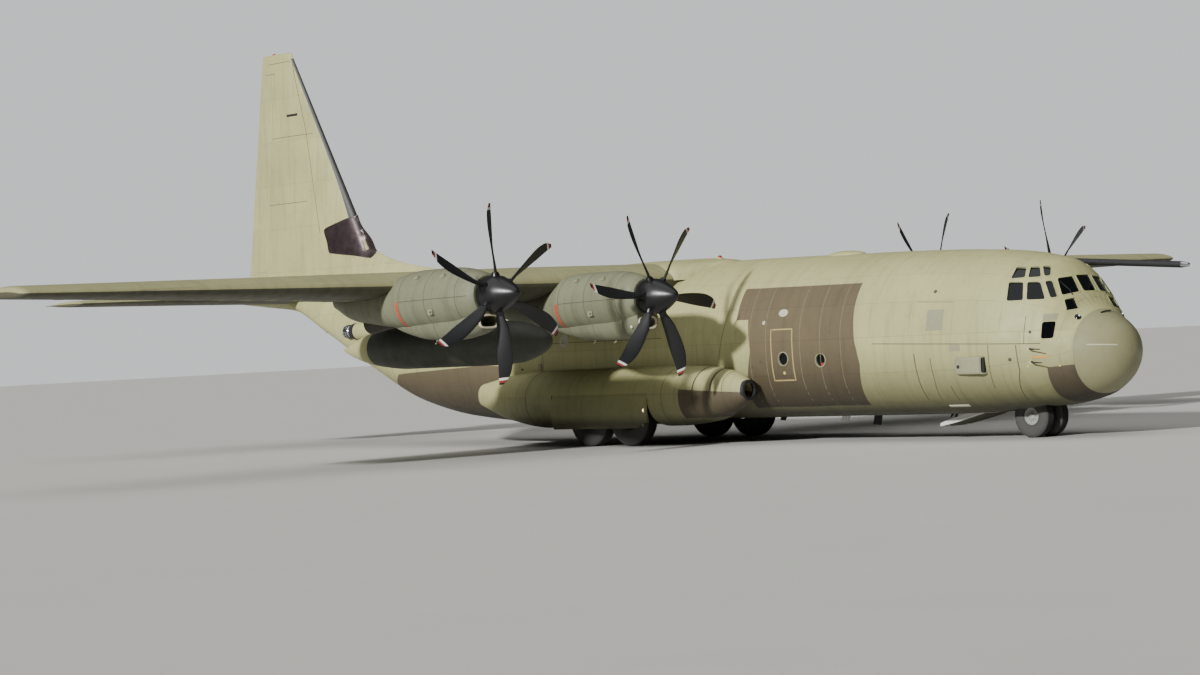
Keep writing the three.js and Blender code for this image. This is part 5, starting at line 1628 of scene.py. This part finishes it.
def bladeShape():
    curves, bands = rowCurves(propeller["rows"]), propeller["bands"]
    first, last = propeller["rows"][0][0], propeller["rows"][-1][0]
    radii = sorted(set([first + (last - first) * i / 26 for i in range(27)] + [v for band in bands
                                                                               for v in band]))
    shares = [0.5 - 0.5 * math.cos(a) for a in spread(0, math.pi, 10)]
    rings = []
    for r in radii:
        chord, thick, angle, sweep = curves(r)
        c, s = math.cos(math.radians(angle)), math.sin(math.radians(angle))
        root = max(0.0, 1 - (r - first) / 350)  # round near the hub
        curve = [1.98 * f ** 0.5 * (1 - f) for f in shares]
        curve = [v + root * (math.sqrt(max(0, f * (1 - f))) - v) for f, v in zip(shares, curve)]
        upper, lower = [[(0.5 - f, share * v) for f, v in zip(shares, curve)] for share in (0.62, -0.38)]
        ring = [(u * chord - sweep, v * thick) for u, v in upper + lower[-2:0:-1]]
        rings.append([Vector((a * s + b * c, -a * c + b * s, r)) * k for a, b in ring])

    def bandOf(r, i):
        middle = (radii[r] + radii[r + 1]) / 2
        return sum(number + 1 for number, (low, high) in enumerate(bands) if low < middle < high)

    return Shape().loft(rings, bandOf)


def nacelleMarks(number, y, hubZ, main, chin):  # main and chin: their sections by station
    shape = Shape()
    bands, fire = nacelleForm["bands"], nacelleForm["fireband"]
    strips = []
    for s in bands["stations"]:
        strips += [(main, s, bands["width"], -48, 228, 2, 0), (chin, s, bands["width"], -180, 0, 2, 0)]
    for side in bothSides:
        rings = []
        for s in spread(*nacelleForm["seam"], 20):
            _, z, wide = main(s)[:3]
            edges = [(y + side * (wide + grow), z + rise) for grow,
                     rise in ((-8, -7), (2, -7), (2, 7), (-8, 7))]
            rings.append([at(s, *edge) for edge in edges])
        shape.loft(rings)
        s, z = nacelleForm["door"]
        shape.block(s - 70, s + 70, y + side * 560, y + side * 652, hubZ + z - 60, hubZ + z + 60, 2)
        shape.block(s - 45, s + 10, y + side * 560, y + side * 656, hubZ + z - 35, hubZ + z + 25, 0)
        s, out, z = nacelleForm["lamp"]
        shape.ball(at(s, y + side * out, hubZ + z), (34, 26, 34), 16, 10, 3)
        for s in nacelleForm["vents"]:  # small scoops on the upper cowl
            shape.rod(at(s, y + side * 470, hubZ + 490), at(s + 190, y + side * 455, hubZ + 455), 46, 30, 20, 2)
    strips += [(main, fire["station"], fire["width"], low, high, 4, 1) for low, high in fire["angles"]]
    for sectionAt, s, width, low, high, rise, slot in strips:
        angles = [math.radians(v) for v in spread(low, high, 48)]
        shape.loft(bandRings(sectionAt, s, width, angles, rise, 6), slot)
    for s, drop in nacelleForm["drains"]:
        _, z, _, _, low, _ = chin(s)
        root = at(s, y - 60, z - low + 30)
        shape.pipe([root, root - up * (drop * 0.6 * k), root + (aft * 60 - up * drop) * k], 14, 10, 2)
    makePiece(f"nacelleMarks{number}", shape, [lineDark, bandOrange, panelGreen, lampGlass], sharp=40)


def buildEngine(number, side, y, hubZ, phase):
    y *= side
    rows, chinRows, intake = nacelleForm["rows"], nacelleForm["chin"], nacelleForm["intake"]
    main, chin = nacelleSection(rows, y, hubZ), nacelleSection(chinRows, y, hubZ)
    nacelle = linked("nacelle", nacelleShape(rows, main).mesh("nacelle"))
    carve(nacelle, nacelleShape(chinRows, chin), operation="UNION")
    front, start = rows[0][0], rows[0][0] - intake["ahead"]
    depth, radius = nacelleForm["shaftRoom"]
    mouth = [intakeOutline(s, y, hubZ, grow) for s,
             grow in ((start, 0), (front + intake["depth"], intake["taper"]))]
    shaftRoom = Shape().rod(at(start, y, hubZ), at(front + depth, y, hubZ), radius, sides=48)
    carve(nacelle, Shape().loft(mouth), shaftRoom)
    makePiece(f"nacelle{number}", nacelle, [nacellePaint], sharp=40, node=f"nacelle_{number}")
    nacelleMarks(number, y, hubZ, main, chin)
    form = nacelleForm["lip"]
    lip = intakeOutline(form["station"], y, hubZ, form["grow"])
    wide, deep = form["radii"]
    rings = []
    for i, point in enumerate(lip):
        out = (lip[(i + 1) % len(lip)] - lip[i - 1]).normalized().cross(-aft).normalized()
        rings.append([point + (out * (math.cos(a) * wide) - aft * (math.sin(a) * deep)) * k for a in turns(10)])
    makePiece(f"intakeLip{number}", Shape().loft(rings, wrap=True), [cream])
    pipe = nacelleForm["exhaust"]
    start, end = [at(pipe[key][0], y, hubZ + pipe[key][1]) for key in ("from", "to")]
    length, r = (end - start).length / k, pipe["radius"]
    profile = [(0, 0), (0, r), (length, r), (length + 3, r - 8), (length, r - 22), (length - 700, r - 30),
               (length - 700, 0)]
    core = Shape().lathe(profile, start, end - start, 48, [0, 0, 0, 0, 1, 1])
    for (s0, z0), (s1, z1), radius, sides in nacelleForm["core"]:
        core.rod(at(s0, y, hubZ + z0), at(s1, y, hubZ + z1), radius, sides=sides)
    makePiece(f"engine{number}", core, [exhaustSteel, blackPaint], slot="engine_metal", node=f"engine_{number}")
    blades = Shape().lathe(propeller["spinner"], (0, 0, 0), -aft, 56, 3)
    blade = bladeShape().lathe(propeller["cuff"], (0, 0, 0), up, 24, 3)
    for turn in turns(propeller["blades"]):
        blades.join(blade, Matrix.Rotation(math.radians(phase) + turn, 4, "X"))
    blades = Shape().join(blades, Matrix.Translation(at(propeller["station"], y, hubZ)))
    makePiece(f"propeller{number}", blades, [bladeBlack, signalWhite, signalRed, spinnerBlack],
              f"propeller_{number}",
              "propeller_black", f"propeller_{number}", 40)


for settings in engines:
    buildEngine(*settings)
print("engines made")

# Fuel tanks under the outer wings, with their pylons
tank = {
    "y": 7600,
    "z": 2790,
    "rows": [(11050, 0), (11150, 170), (11500, 340), (12200, 500), (13200, 535), (16300, 535), (17500, 430),
             (18400, 210), (18890, 30)],
    "joints": [12200, 14700, 17450],
    "cone": 17450,
    "groove": 5,
    "cap": (13000, 500, 541, 70),
    "pylon": {"fronts": (13100, 13500), "backs": (16200, 15900), "half": 70, "z": (3190, 4200)},
}


def buildTank():
    start, end, joints = tank["rows"][0][0], tank["rows"][-1][0], [joint - tank["rows"][0][0]
                                                                   for joint in tank["joints"]]
    curve = rowCurves([(math.sqrt(s - start), radius) for s, radius in tank["rows"]])
    marks = [(end - start) * (i / 60) ** 1.4 for i in range(1, 61)]
    marks += [joint + move for joint in joints for move in (-5, 5)]
    profile = [(0, 0)]
    for s in sorted(marks):
        groove = tank["groove"] if min(abs(s - joint) for joint in joints) < 6 else 0
        profile.append((s, curve(math.sqrt(s))[0] - groove))
    profile.append((profile[-1][0], 0))
    slots = [1 if (a[0] + b[0]) / 2 > tank["cone"] - start else 0 for a, b in zip(profile, profile[1:])]
    y, z, pylon = tank["y"], tank["z"], tank["pylon"]
    shape = Shape().lathe(profile, at(start, y, z), aft, 64, slots)
    s, low, high, radius = tank["cap"]
    shape.rod(at(s, y, z + low), at(s, y, z + high), radius, sides=24, slot=1)
    rings = []
    for t in spread(0, 1, 8):
        front, back = mix(*pylon["fronts"], t), mix(*pylon["backs"], t)
        section = sectionOf(front, back - front, 2 * pylon["half"] / (back - front))
        upper = [sectionPoint(section, f, 1) for f in fractions]
        lower = [sectionPoint(section, f, -1) for f in fractions[-2:0:-1]]
        rings.append([at(s, y + h, mix(*pylon["z"], t)) for s, h in upper + lower])
    shape.loft(rings, 1)
    makeSides("fuelTank", shape, [tankPaint, plainPaint], node="fuel_tank_{}", slot="hollow_skin_paint")


buildTank()
print("tanks made")

# Sponsons beside the hold, with the wheel wells, and the gear doors that hang open
sponson = {
    "rows": [  # station, half width, half height, middle y, middle z
        (9650, 240, 250, 2500, 1345),
        (9950, 390, 390, 2420, 1335),
        (10450, 560, 540, 2300, 1310),
        (11300, 830, 690, 2080, 1270),
        (12500, 960, 760, 1960, 1250),
        (17300, 960, 760, 1960, 1250),
        (18600, 700, 620, 2050, 1300),
        (19900, 250, 300, 2150, 1400),
    ],
    "power": 2.4,
    "sides": 64,
    "doorRoom": (12800, 16400, 1600, 3200, 0, 1360),
    "inlet": [(9500, 2500, 1345), (10300, 2450, 1340)],
    "bands": [(10250, 16), (10624, 60), (11213, 44), (12300, 12), (17400, 12)],  # station, width
    "mouth": (9650, 2500, 1345),
    "lip": [(-30, 186), (-38, 215), (-20, 252), (60, 262), (60, 186), (-30, 186)],
    "wall": [(420, 0), (420, 172), (430, 172), (430, 0)],
    # a black disc closing the duct deep in the mouth: painted shade of the duct
    "cone": [(200, 0), (240, 60), (400, 70), (400, 0)],
    "vanes": {"count": 12, "depth": 300, "reach": 172, "radius": 12},
    "lamp": (12900, 2945, 930),
    "lampProfile": [(-30, 0), (-30, 66), (14, 70), (16, 52), (16, 0)],
}
gearDoor = {"front": 12814, "back": 16380, "low": 480, "top": 1359, "y": 2880, "thickness": 60, "bulge": 100,
            "lead": 140, "leadDepth": 400, "ribs": (13100, 13750, 14400, 15050, 15700, 16250)}
sponsonCurves = rowCurves(sponson["rows"])


def sponsonAt(s):
    wide, high, y, z = sponsonCurves(s)
    return y, z, wide, high, high, sponson["power"]


def doorBulge(z):
    low, top = gearDoor["low"], gearDoor["top"]
    return gearDoor["bulge"] * math.sin(math.pi * (z - low) / (top - low))


def gearDoorShape():  # a panel that bulges outwards, its front edge swept round at the foot
    front, back, depth = gearDoor["front"], gearDoor["back"], gearDoor["leadDepth"]
    rings = []
    for s in [front, front + 12] + spread(front + 40, back, 30):
        lead = gearDoor["lead"] * math.sqrt(max(0.0, 1 - ((s - front) / depth) ** 2))
        levels = spread(gearDoor["low"] + lead, gearDoor["top"], 24)
        outer, inner = [[at(s, gearDoor["y"] + doorBulge(z) - inset, z) for z in levels]
                        for inset in (0, gearDoor["thickness"])]
        rings.append(outer + inner[::-1])
    return Shape().loft(rings)


def buildSponsons():
    first, last = sponson["rows"][0][0], sponson["rows"][-1][0]
    body = solid("body", [superRing(s, sponsonAt(s), sponson["sides"]) for s in spread(first, last, 72)])
    inlet = Shape().rod(*[at(*place) for place in sponson["inlet"]], 190, 150, 40)
    carve(body, hullSolid(), boxForm(*well), boxForm(*sponson["doorRoom"]), inlet)
    makeSides("sponson", body, [sponsonPaint], node="sponson_{}", slot="hollow_skin_paint", sharp=40)
    door = linked("door", gearDoorShape().mesh("door"))
    makeSides("mainGearDoor", door, [sponsonPaint], node="main_gear_door_{}", slot="hollow_skin_paint",
              sharp=40)


def buildSponsonMarks():
    shape = Shape()
    for s, width in sponson["bands"]:
        shape.loft(bandRings(sponsonAt, s, width, turns(64), 3, 8), wrap=True)
    makePiece("sponsonMarks", shape.both(), [lineDark], sharp=40)
    # Mouth parts in matt black; the wall that closes the duct is painted shade of its depth
    mouth, axis, vanes = at(*sponson["mouth"]), Vector((-1, 0.06, 0)), sponson["vanes"]
    shape = Shape().lathe(sponson["lip"], mouth, axis, 48).lathe(sponson["wall"], mouth, axis, 40)
    start = mouth + aft * (vanes["depth"] * k)
    for a in turns(vanes["count"]):
        reach = (port * math.cos(a) + up * math.sin(a)) * (vanes["reach"] * k)
        shape.rod(start, start + reach, vanes["radius"], sides=8)
    shape.lathe(sponson["cone"], mouth, axis, 28)
    makePiece("sponsonMouths", shape.both(), [blackPaint], slot="probe_black")
    ribs = Shape()
    for s in gearDoor["ribs"]:
        rings = []
        for z in spread(gearDoor["low"] + 40, gearDoor["top"] - 59, 12):
            y = gearDoor["y"] - gearDoor["thickness"] + doorBulge(z)
            rings.append([at(s - 14, y + 4, z), at(s + 14, y + 4, z), at(s + 14, y - 50, z),
                          at(s - 14, y - 50, z)])
        ribs.loft(rings)
    makePiece("gearDoorRibs", ribs.both(), [primer], slot="hollow_skin_paint")
    lamp = Shape().lathe(sponson["lampProfile"], at(*sponson["lamp"]), (1, 0.4, 0), 32, [0, 0, 0, 1])
    makePiece("taxiLamps", lamp.both(), [chrome, lampLit], slot="bare_metal")


buildSponsons()
buildSponsonMarks()
print("sponsons made")

# Landing gear: wheels as hub and tyre, and the struts that carry them
noseWheel = {"station": 2700, "radius": 495, "rim": 203, "width": 330, "y": 270, "axle": 48, "hub": 110,
             "grooves": 3}
mainWheel = {"stations": (14108, 15632), "radius": 710, "rim": 254, "width": 500, "y": 2170, "hub": 170,
             "grooves": 5}
hubProfile = [  # shares of the half width and of the rim's radius
    (1, 0), (1, 0.3), (0.93, 0.36), (0.72, 0.42), (0.55, 0.7), (0.58, 0.84), (0.88, 0.9), (1, 0.97), (0.96, 1),
]
noseGear = {
    "strut": [(0, 0), (0, 62), (260, 62), (262, 80), (330, 80), (332, 62), (464, 62), (464, 0)],
    "collar": [(-75, 51), (-75, 92), (75, 92), (75, 51), (-75, 51)],
    "links": [(560, 700), (880, 740)],
    "leg": [(0, 0), (0, 95), (60, 100), (70, 90), (900, 90), (909, 0)],
    "legZ": 960,
    "lamp": [(-40, 0), (-40, 50), (20, 62), (22, 50), (22, 0)],
    "hose": [(60, 80, 1500), (100, 90, 1250), (96, 84, 1000)],
}
mainGear = {
    "y": 1790,
    "strut": [(0, 0), (0, 62), (520, 62), (522, 88), (580, 88), (582, 78), (1258, 78), (1258, 0)],
    "collar": [(0, 0), (0, 96), (190, 96), (190, 0)],
    "hose": [(95, -30, 1500), (105, -40, 1150), (90, 0, 900), (110, 60, 760)],
    "link": [(-80, 0, 780), (-260, 0, 900), (-250, 0, 960), (-80, 0, 1060)],
}
mainPlaces = [(name, s, side, sign) for name, s in zip(("front", "rear"), mainWheel["stations"])
              for side, sign in namedSides]


def tyreShape(wheel, place):
    half, radius, inner = wheel["width"] / 2, wheel["radius"], wheel["rim"] + 1
    middle = mix(inner, radius, 0.5)
    profile = [(-half * 0.62, inner), (-half * 0.7, inner + 14)]
    for v in spread(-60, 70, 8):  # rounded side up to the shoulder
        a = math.radians(v)
        reach = radius * 0.965 - middle if v > 0 else middle - inner - 14
        profile.append((-half * (0.62 + 0.38 * math.cos(a)), middle + reach * math.sin(a)))
    profile.append((-half * 0.62, radius * 0.985))
    tread = []
    for y in spread(-half * 0.42, half * 0.42, wheel["grooves"] - 1):
        crown = radius * (1 - 0.012 * abs(y / half) ** 2)
        tread += [(y - 13, crown), (y - 9, crown - 16), (y + 9, crown - 16), (y + 13, crown)]
    edge = [1] * (len(profile) - 1)
    outline = profile + tread + [(-a, b) for a, b in profile[::-1]] + profile[:1]
    return Shape().lathe(outline, place, port, 72, edge + [0] * (len(tread) + 1) + edge + [1])


def hubShape(wheel, place):
    half, rim = wheel["hub"], wheel["rim"]
    outline = [(-half * a, rim * b) for a, b in hubProfile]
    return Shape().lathe(outline + [(-a, b) for a, b in outline[::-1]], place, port, 48)


def buildGear():
    rubber = tyreRubber, sidewallRubber
    s, reach = noseWheel["station"], port * (noseWheel["y"] * k)
    centre = at(s, 0, noseWheel["radius"])
    rims = Shape()
    for side, sign in namedSides:
        place = centre + reach * sign
        rims.join(hubShape(noseWheel, place))
        makePiece("noseTyre" + side.title(), tyreShape(noseWheel, place), rubber, "nose_wheels", "tyre",
                  "nose_tyre_" + side)
    rims.rod(centre - reach, centre + reach, noseWheel["axle"], sides=24)
    makePiece("noseWheelRims", rims, [wheelGrey], "nose_wheels", "wheel_metal", "nose_wheel_rims")
    fork = Shape().lathe(noseGear["strut"], centre, up, 32, [0, 1, 0, 0, 0, 1, 1])
    fork.lathe(noseGear["collar"], centre, port, 32)
    for z0, z1 in noseGear["links"]:  # torque links behind the strut
        fork.pipe([at(s + 70, 0, z0), at(s + 230, 0, (z0 + z1) / 2 + 10), at(s + 225, 0, 720)], 22)
    makePiece("noseGearFork", fork, [gearWhite, chrome], "nose_steering", "bare_metal", "nose_gear_fork")
    leg = Shape().lathe(noseGear["leg"], at(s, 0, noseGear["legZ"]), up, 36)
    leg.rod(at(s, 0, 1150), at(1950, 0, 1800), 45, sides=20)
    leg.block(s - 90, s + 90, -330, 330, 1080, 1180)
    for _, sign in namedSides:  # steering cylinders
        leg.rod(at(s - 60, sign * 110, 1000), at(s + 250, sign * 190, 1030), 34, sides=18)
    makePiece("noseGearLeg", leg, [gearWhite], slot="gear_white", node="nose_gear_leg", bevel=0.002)
    for name, station, side, sign in mainPlaces:
        place = at(station, sign * mainWheel["y"], mainWheel["radius"])
        body, ending = f"main_wheel_{name}_{side}", name.title() + side.title()
        makePiece("mainTyre" + ending, tyreShape(mainWheel, place), rubber, body, "tyre",
                  f"main_tyre_{name}_{side}")
        makePiece("mainHub" + ending, hubShape(mainWheel, place), [wheelGrey], body, "wheel_metal",
                  f"main_hub_{name}_{side}")
    legs = Shape()
    y, z, face = mainGear["y"], mainWheel["radius"], mainWheel["y"] - mainWheel["hub"]
    for station in mainWheel["stations"]:
        legs.lathe(mainGear["strut"], at(station, y, 480), up, 28, [0, 1, 0, 0, 0, 0, 0])
        legs.lathe(mainGear["collar"], at(station, y, 620), up, 28)
        legs.rod(at(station, y, z), at(station, face - 1, z), 65, sides=28)
    legs.block(*mainWheel["stations"], y - 50, y + 50, 1480, 1620)
    makeSides("mainGearLegs", legs, [gearWhite, chrome], node="main_gear_legs_{}", slot="gear_white")


def boltSpots(wheel, station, sign, outwards, count):
    centre = at(station, sign * (wheel["y"] + wheel["hub"] * outwards), wheel["radius"])
    share = wheel["rim"] * 0.56 * k
    return [(centre + (up * math.sin(a) - aft * math.cos(a)) * share, (0, sign, 0)) for a in turns(count)]


def buildGearDetails():
    s = noseWheel["station"]
    spots = [spot for _, sign in namedSides for spot in boltSpots(noseWheel, s, sign, 0.62, 10)]
    studs("noseWheelBolts", spots, 13, 34, "nose_wheels", bareSteel, "bare_metal", 6)
    for name, station, side, sign in mainPlaces:
        studs("mainWheelBolts" + name.title() + side.title(), boltSpots(mainWheel, station, sign, 0.64, 12), 15,
              40,
              f"main_wheel_{name}_{side}", bareSteel, "bare_metal", 6)
    hoses = Shape()
    for station in mainWheel["stations"]:
        for key, radius, slot in (("hose", 12, 0), ("link", 26, 1)):
            hoses.pipe([at(station + x, mainGear["y"] + y, z) for x, y, z in mainGear[key]], radius, 10, slot)
    hoses = hoses.both()
    lamps = Shape()
    for _, sign in namedSides:  # taxi lamps on the nose leg
        hoses.pipe([at(s + x, sign * y, z) for x, y, z in noseGear["hose"]], 10)
        lamps.lathe(noseGear["lamp"], at(s - 150, sign * 250, 1130), -aft, 28, [0, 0, 0, 1])
    makePiece("gearHoses", hoses, [blackPaint, gearWhite], slot="gear_white")
    makePiece("noseLamps", lamps, [gearWhite, lampGlass], slot="gear_white")


buildGear()
buildGearDetails()
print("landing gear made")

# Glazing, window rims, wipers and the probe over the cockpit
probe = {"tip": (-970, 900, 3770), "nozzle": (-780, 900, 3780), "bend": (2100, 900, 4000),
         "foot": (4600, 900, 4120),
         "radii": (75, 110)}
# Wiper arm: station, y, z, height over the skin
wiper = [(1150, 620, 3250, -4), (1215, 640, 3330, 20), (1330, 720, 3470, 16)]


def buildCockpit():
    makePiece("cockpitGlazing", glassShape, [glassDark], slot="window_glass", node="cockpit_glazing")
    makePiece("windowRims", rimShape, [plainPaint])
    start, nozzle, bend, foot = [at(*probe[key]) for key in ("tip", "nozzle", "bend", "foot")]
    length, (radius, last) = (nozzle - start).length / k, probe["radii"]
    profile = [(0, 0), (0, 30), (8, 45), (60, 52), (length, 74), (length + 40, 74), (length + 40, 0)]
    shape = Shape().lathe(profile, start, nozzle - start, 32, [1, 1, 1, 1, 0, 0])
    shape.pipe([nozzle, bend], radius, 32)
    shape.pipe([bend + (nozzle - bend).normalized() * (30 * k), foot], [radius, last], 32)
    makePiece("refuellingProbe", shape, [blackPaint, chrome], slot="probe_black", node="refuelling_probe")
    shape = Shape()
    for side in bothSides:
        places = [at(s, side * y, z) for s, y, z, _ in wiper]
        out = skinNormal(places[0])
        foot, elbow, tip = [ontoHull(p, skinNormal(p)) + skinNormal(p) * (row[3] * k)
                            for p, row in zip(places, wiper)]
        shape.pipe([foot, elbow, tip], 9, 8)
        aside = (tip - elbow).cross(out).normalized() * (10 * k)
        shape.pipe([tip - aside - (tip - elbow) * 0.6, tip + (tip - elbow) * 0.5], 7, 8)
        shape.ball(foot, (26, 26, 20), 16, 10)
    makePiece("wipers", shape, [blackPaint], slot="probe_black")


for builder in (buildCockpit, buildMarks, buildFittings, buildNoseDoor, buildPods, buildHold,
                buildWingFittings):
    builder()
print("cockpit, hold and fittings made")

for name, material in (("cargo_floor", floorMetal), ("flight_deck", panelGrey)):
    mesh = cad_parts[name].data
    mesh.materials.clear()
    mesh.materials.append(material)

for helper in (shell, wholeHull):
    bpy.data.objects.remove(helper)

# Floor, light and camera
stageWork = {
    "floor": 160.0,
    "floorColour": "#bcbbb5",
    "skyColour": "#e6e8ea",
    "sky": 0.12,
    "backdrop": 0.95,  # what the camera sees behind the floor
    "suns": [  # strength, softness in degrees, from where
        ("keyLight", 5.4, 3, (0.19, -0.92, 0.352)),
        ("topLight", 1.4, 80, (0.0, -0.3, 1.0)),
    ],
    "camera": (28.363, -26.544, 1.3985),
    "heading": 2.397,
    "roll": -0.05,
    "lens": 87.67,
}


def buildStage():
    size, skyColour = stageWork["floor"], fromHex(stageWork["skyColour"])
    corners = (-size, -size), (size, -size), (size, size), (-size, size)
    floor = solid("floor", [[Vector((x, y, z)) for x, y in corners] for z in (0, -0.1)])
    floor.data.materials.append(plain("paleFloor", stageWork["floorColour"], 0.85, scale=0.6, spread=0.03,
                                      bump=0.0))
    world = bpy.data.worlds.new("studio")
    bpy.context.scene.world = world
    world.use_nodes = True
    tree = world.node_tree
    sky = tree.nodes["Background"]
    sky.inputs["Color"].default_value = skyColour
    sky.inputs["Strength"].default_value = stageWork["sky"]
    backdrop = addNode(tree, "Background", [skyColour, stageWork["backdrop"]])
    seen = addNode(tree, "LightPath").outputs["Is Camera Ray"]
    both = addNode(tree, "MixShader", [seen, sky, backdrop])
    tree.links.new(both.outputs[0], tree.nodes["World Output"].inputs[0])
    for name, strength, softness, origin in stageWork["suns"]:
        light = bpy.data.lights.new(name, "SUN")
        light.energy = strength
        light.angle = math.radians(softness)
        linked(name, light).rotation_euler = Vector(origin).to_track_quat("Z", "Y").to_euler()
    data = bpy.data.cameras.new("photoView")
    data.lens = stageWork["lens"]
    data.sensor_width = 36
    data.clip_end = 500
    camera = linked("photoView", data)
    heading, roll = stageWork["heading"], stageWork["roll"]
    forward = Vector((math.cos(heading), math.sin(heading), 0))
    level = Vector((math.sin(heading), -math.cos(heading), 0))
    upwards = level.cross(forward)
    right = level * math.cos(roll) + upwards * math.sin(roll)
    turn = Matrix((right, upwards * math.cos(roll) - level * math.sin(roll), -forward)).transposed()
    camera.matrix_world = Matrix.Translation(stageWork["camera"]) @ turn.to_4x4()
    bpy.context.scene.camera = camera


buildStage()
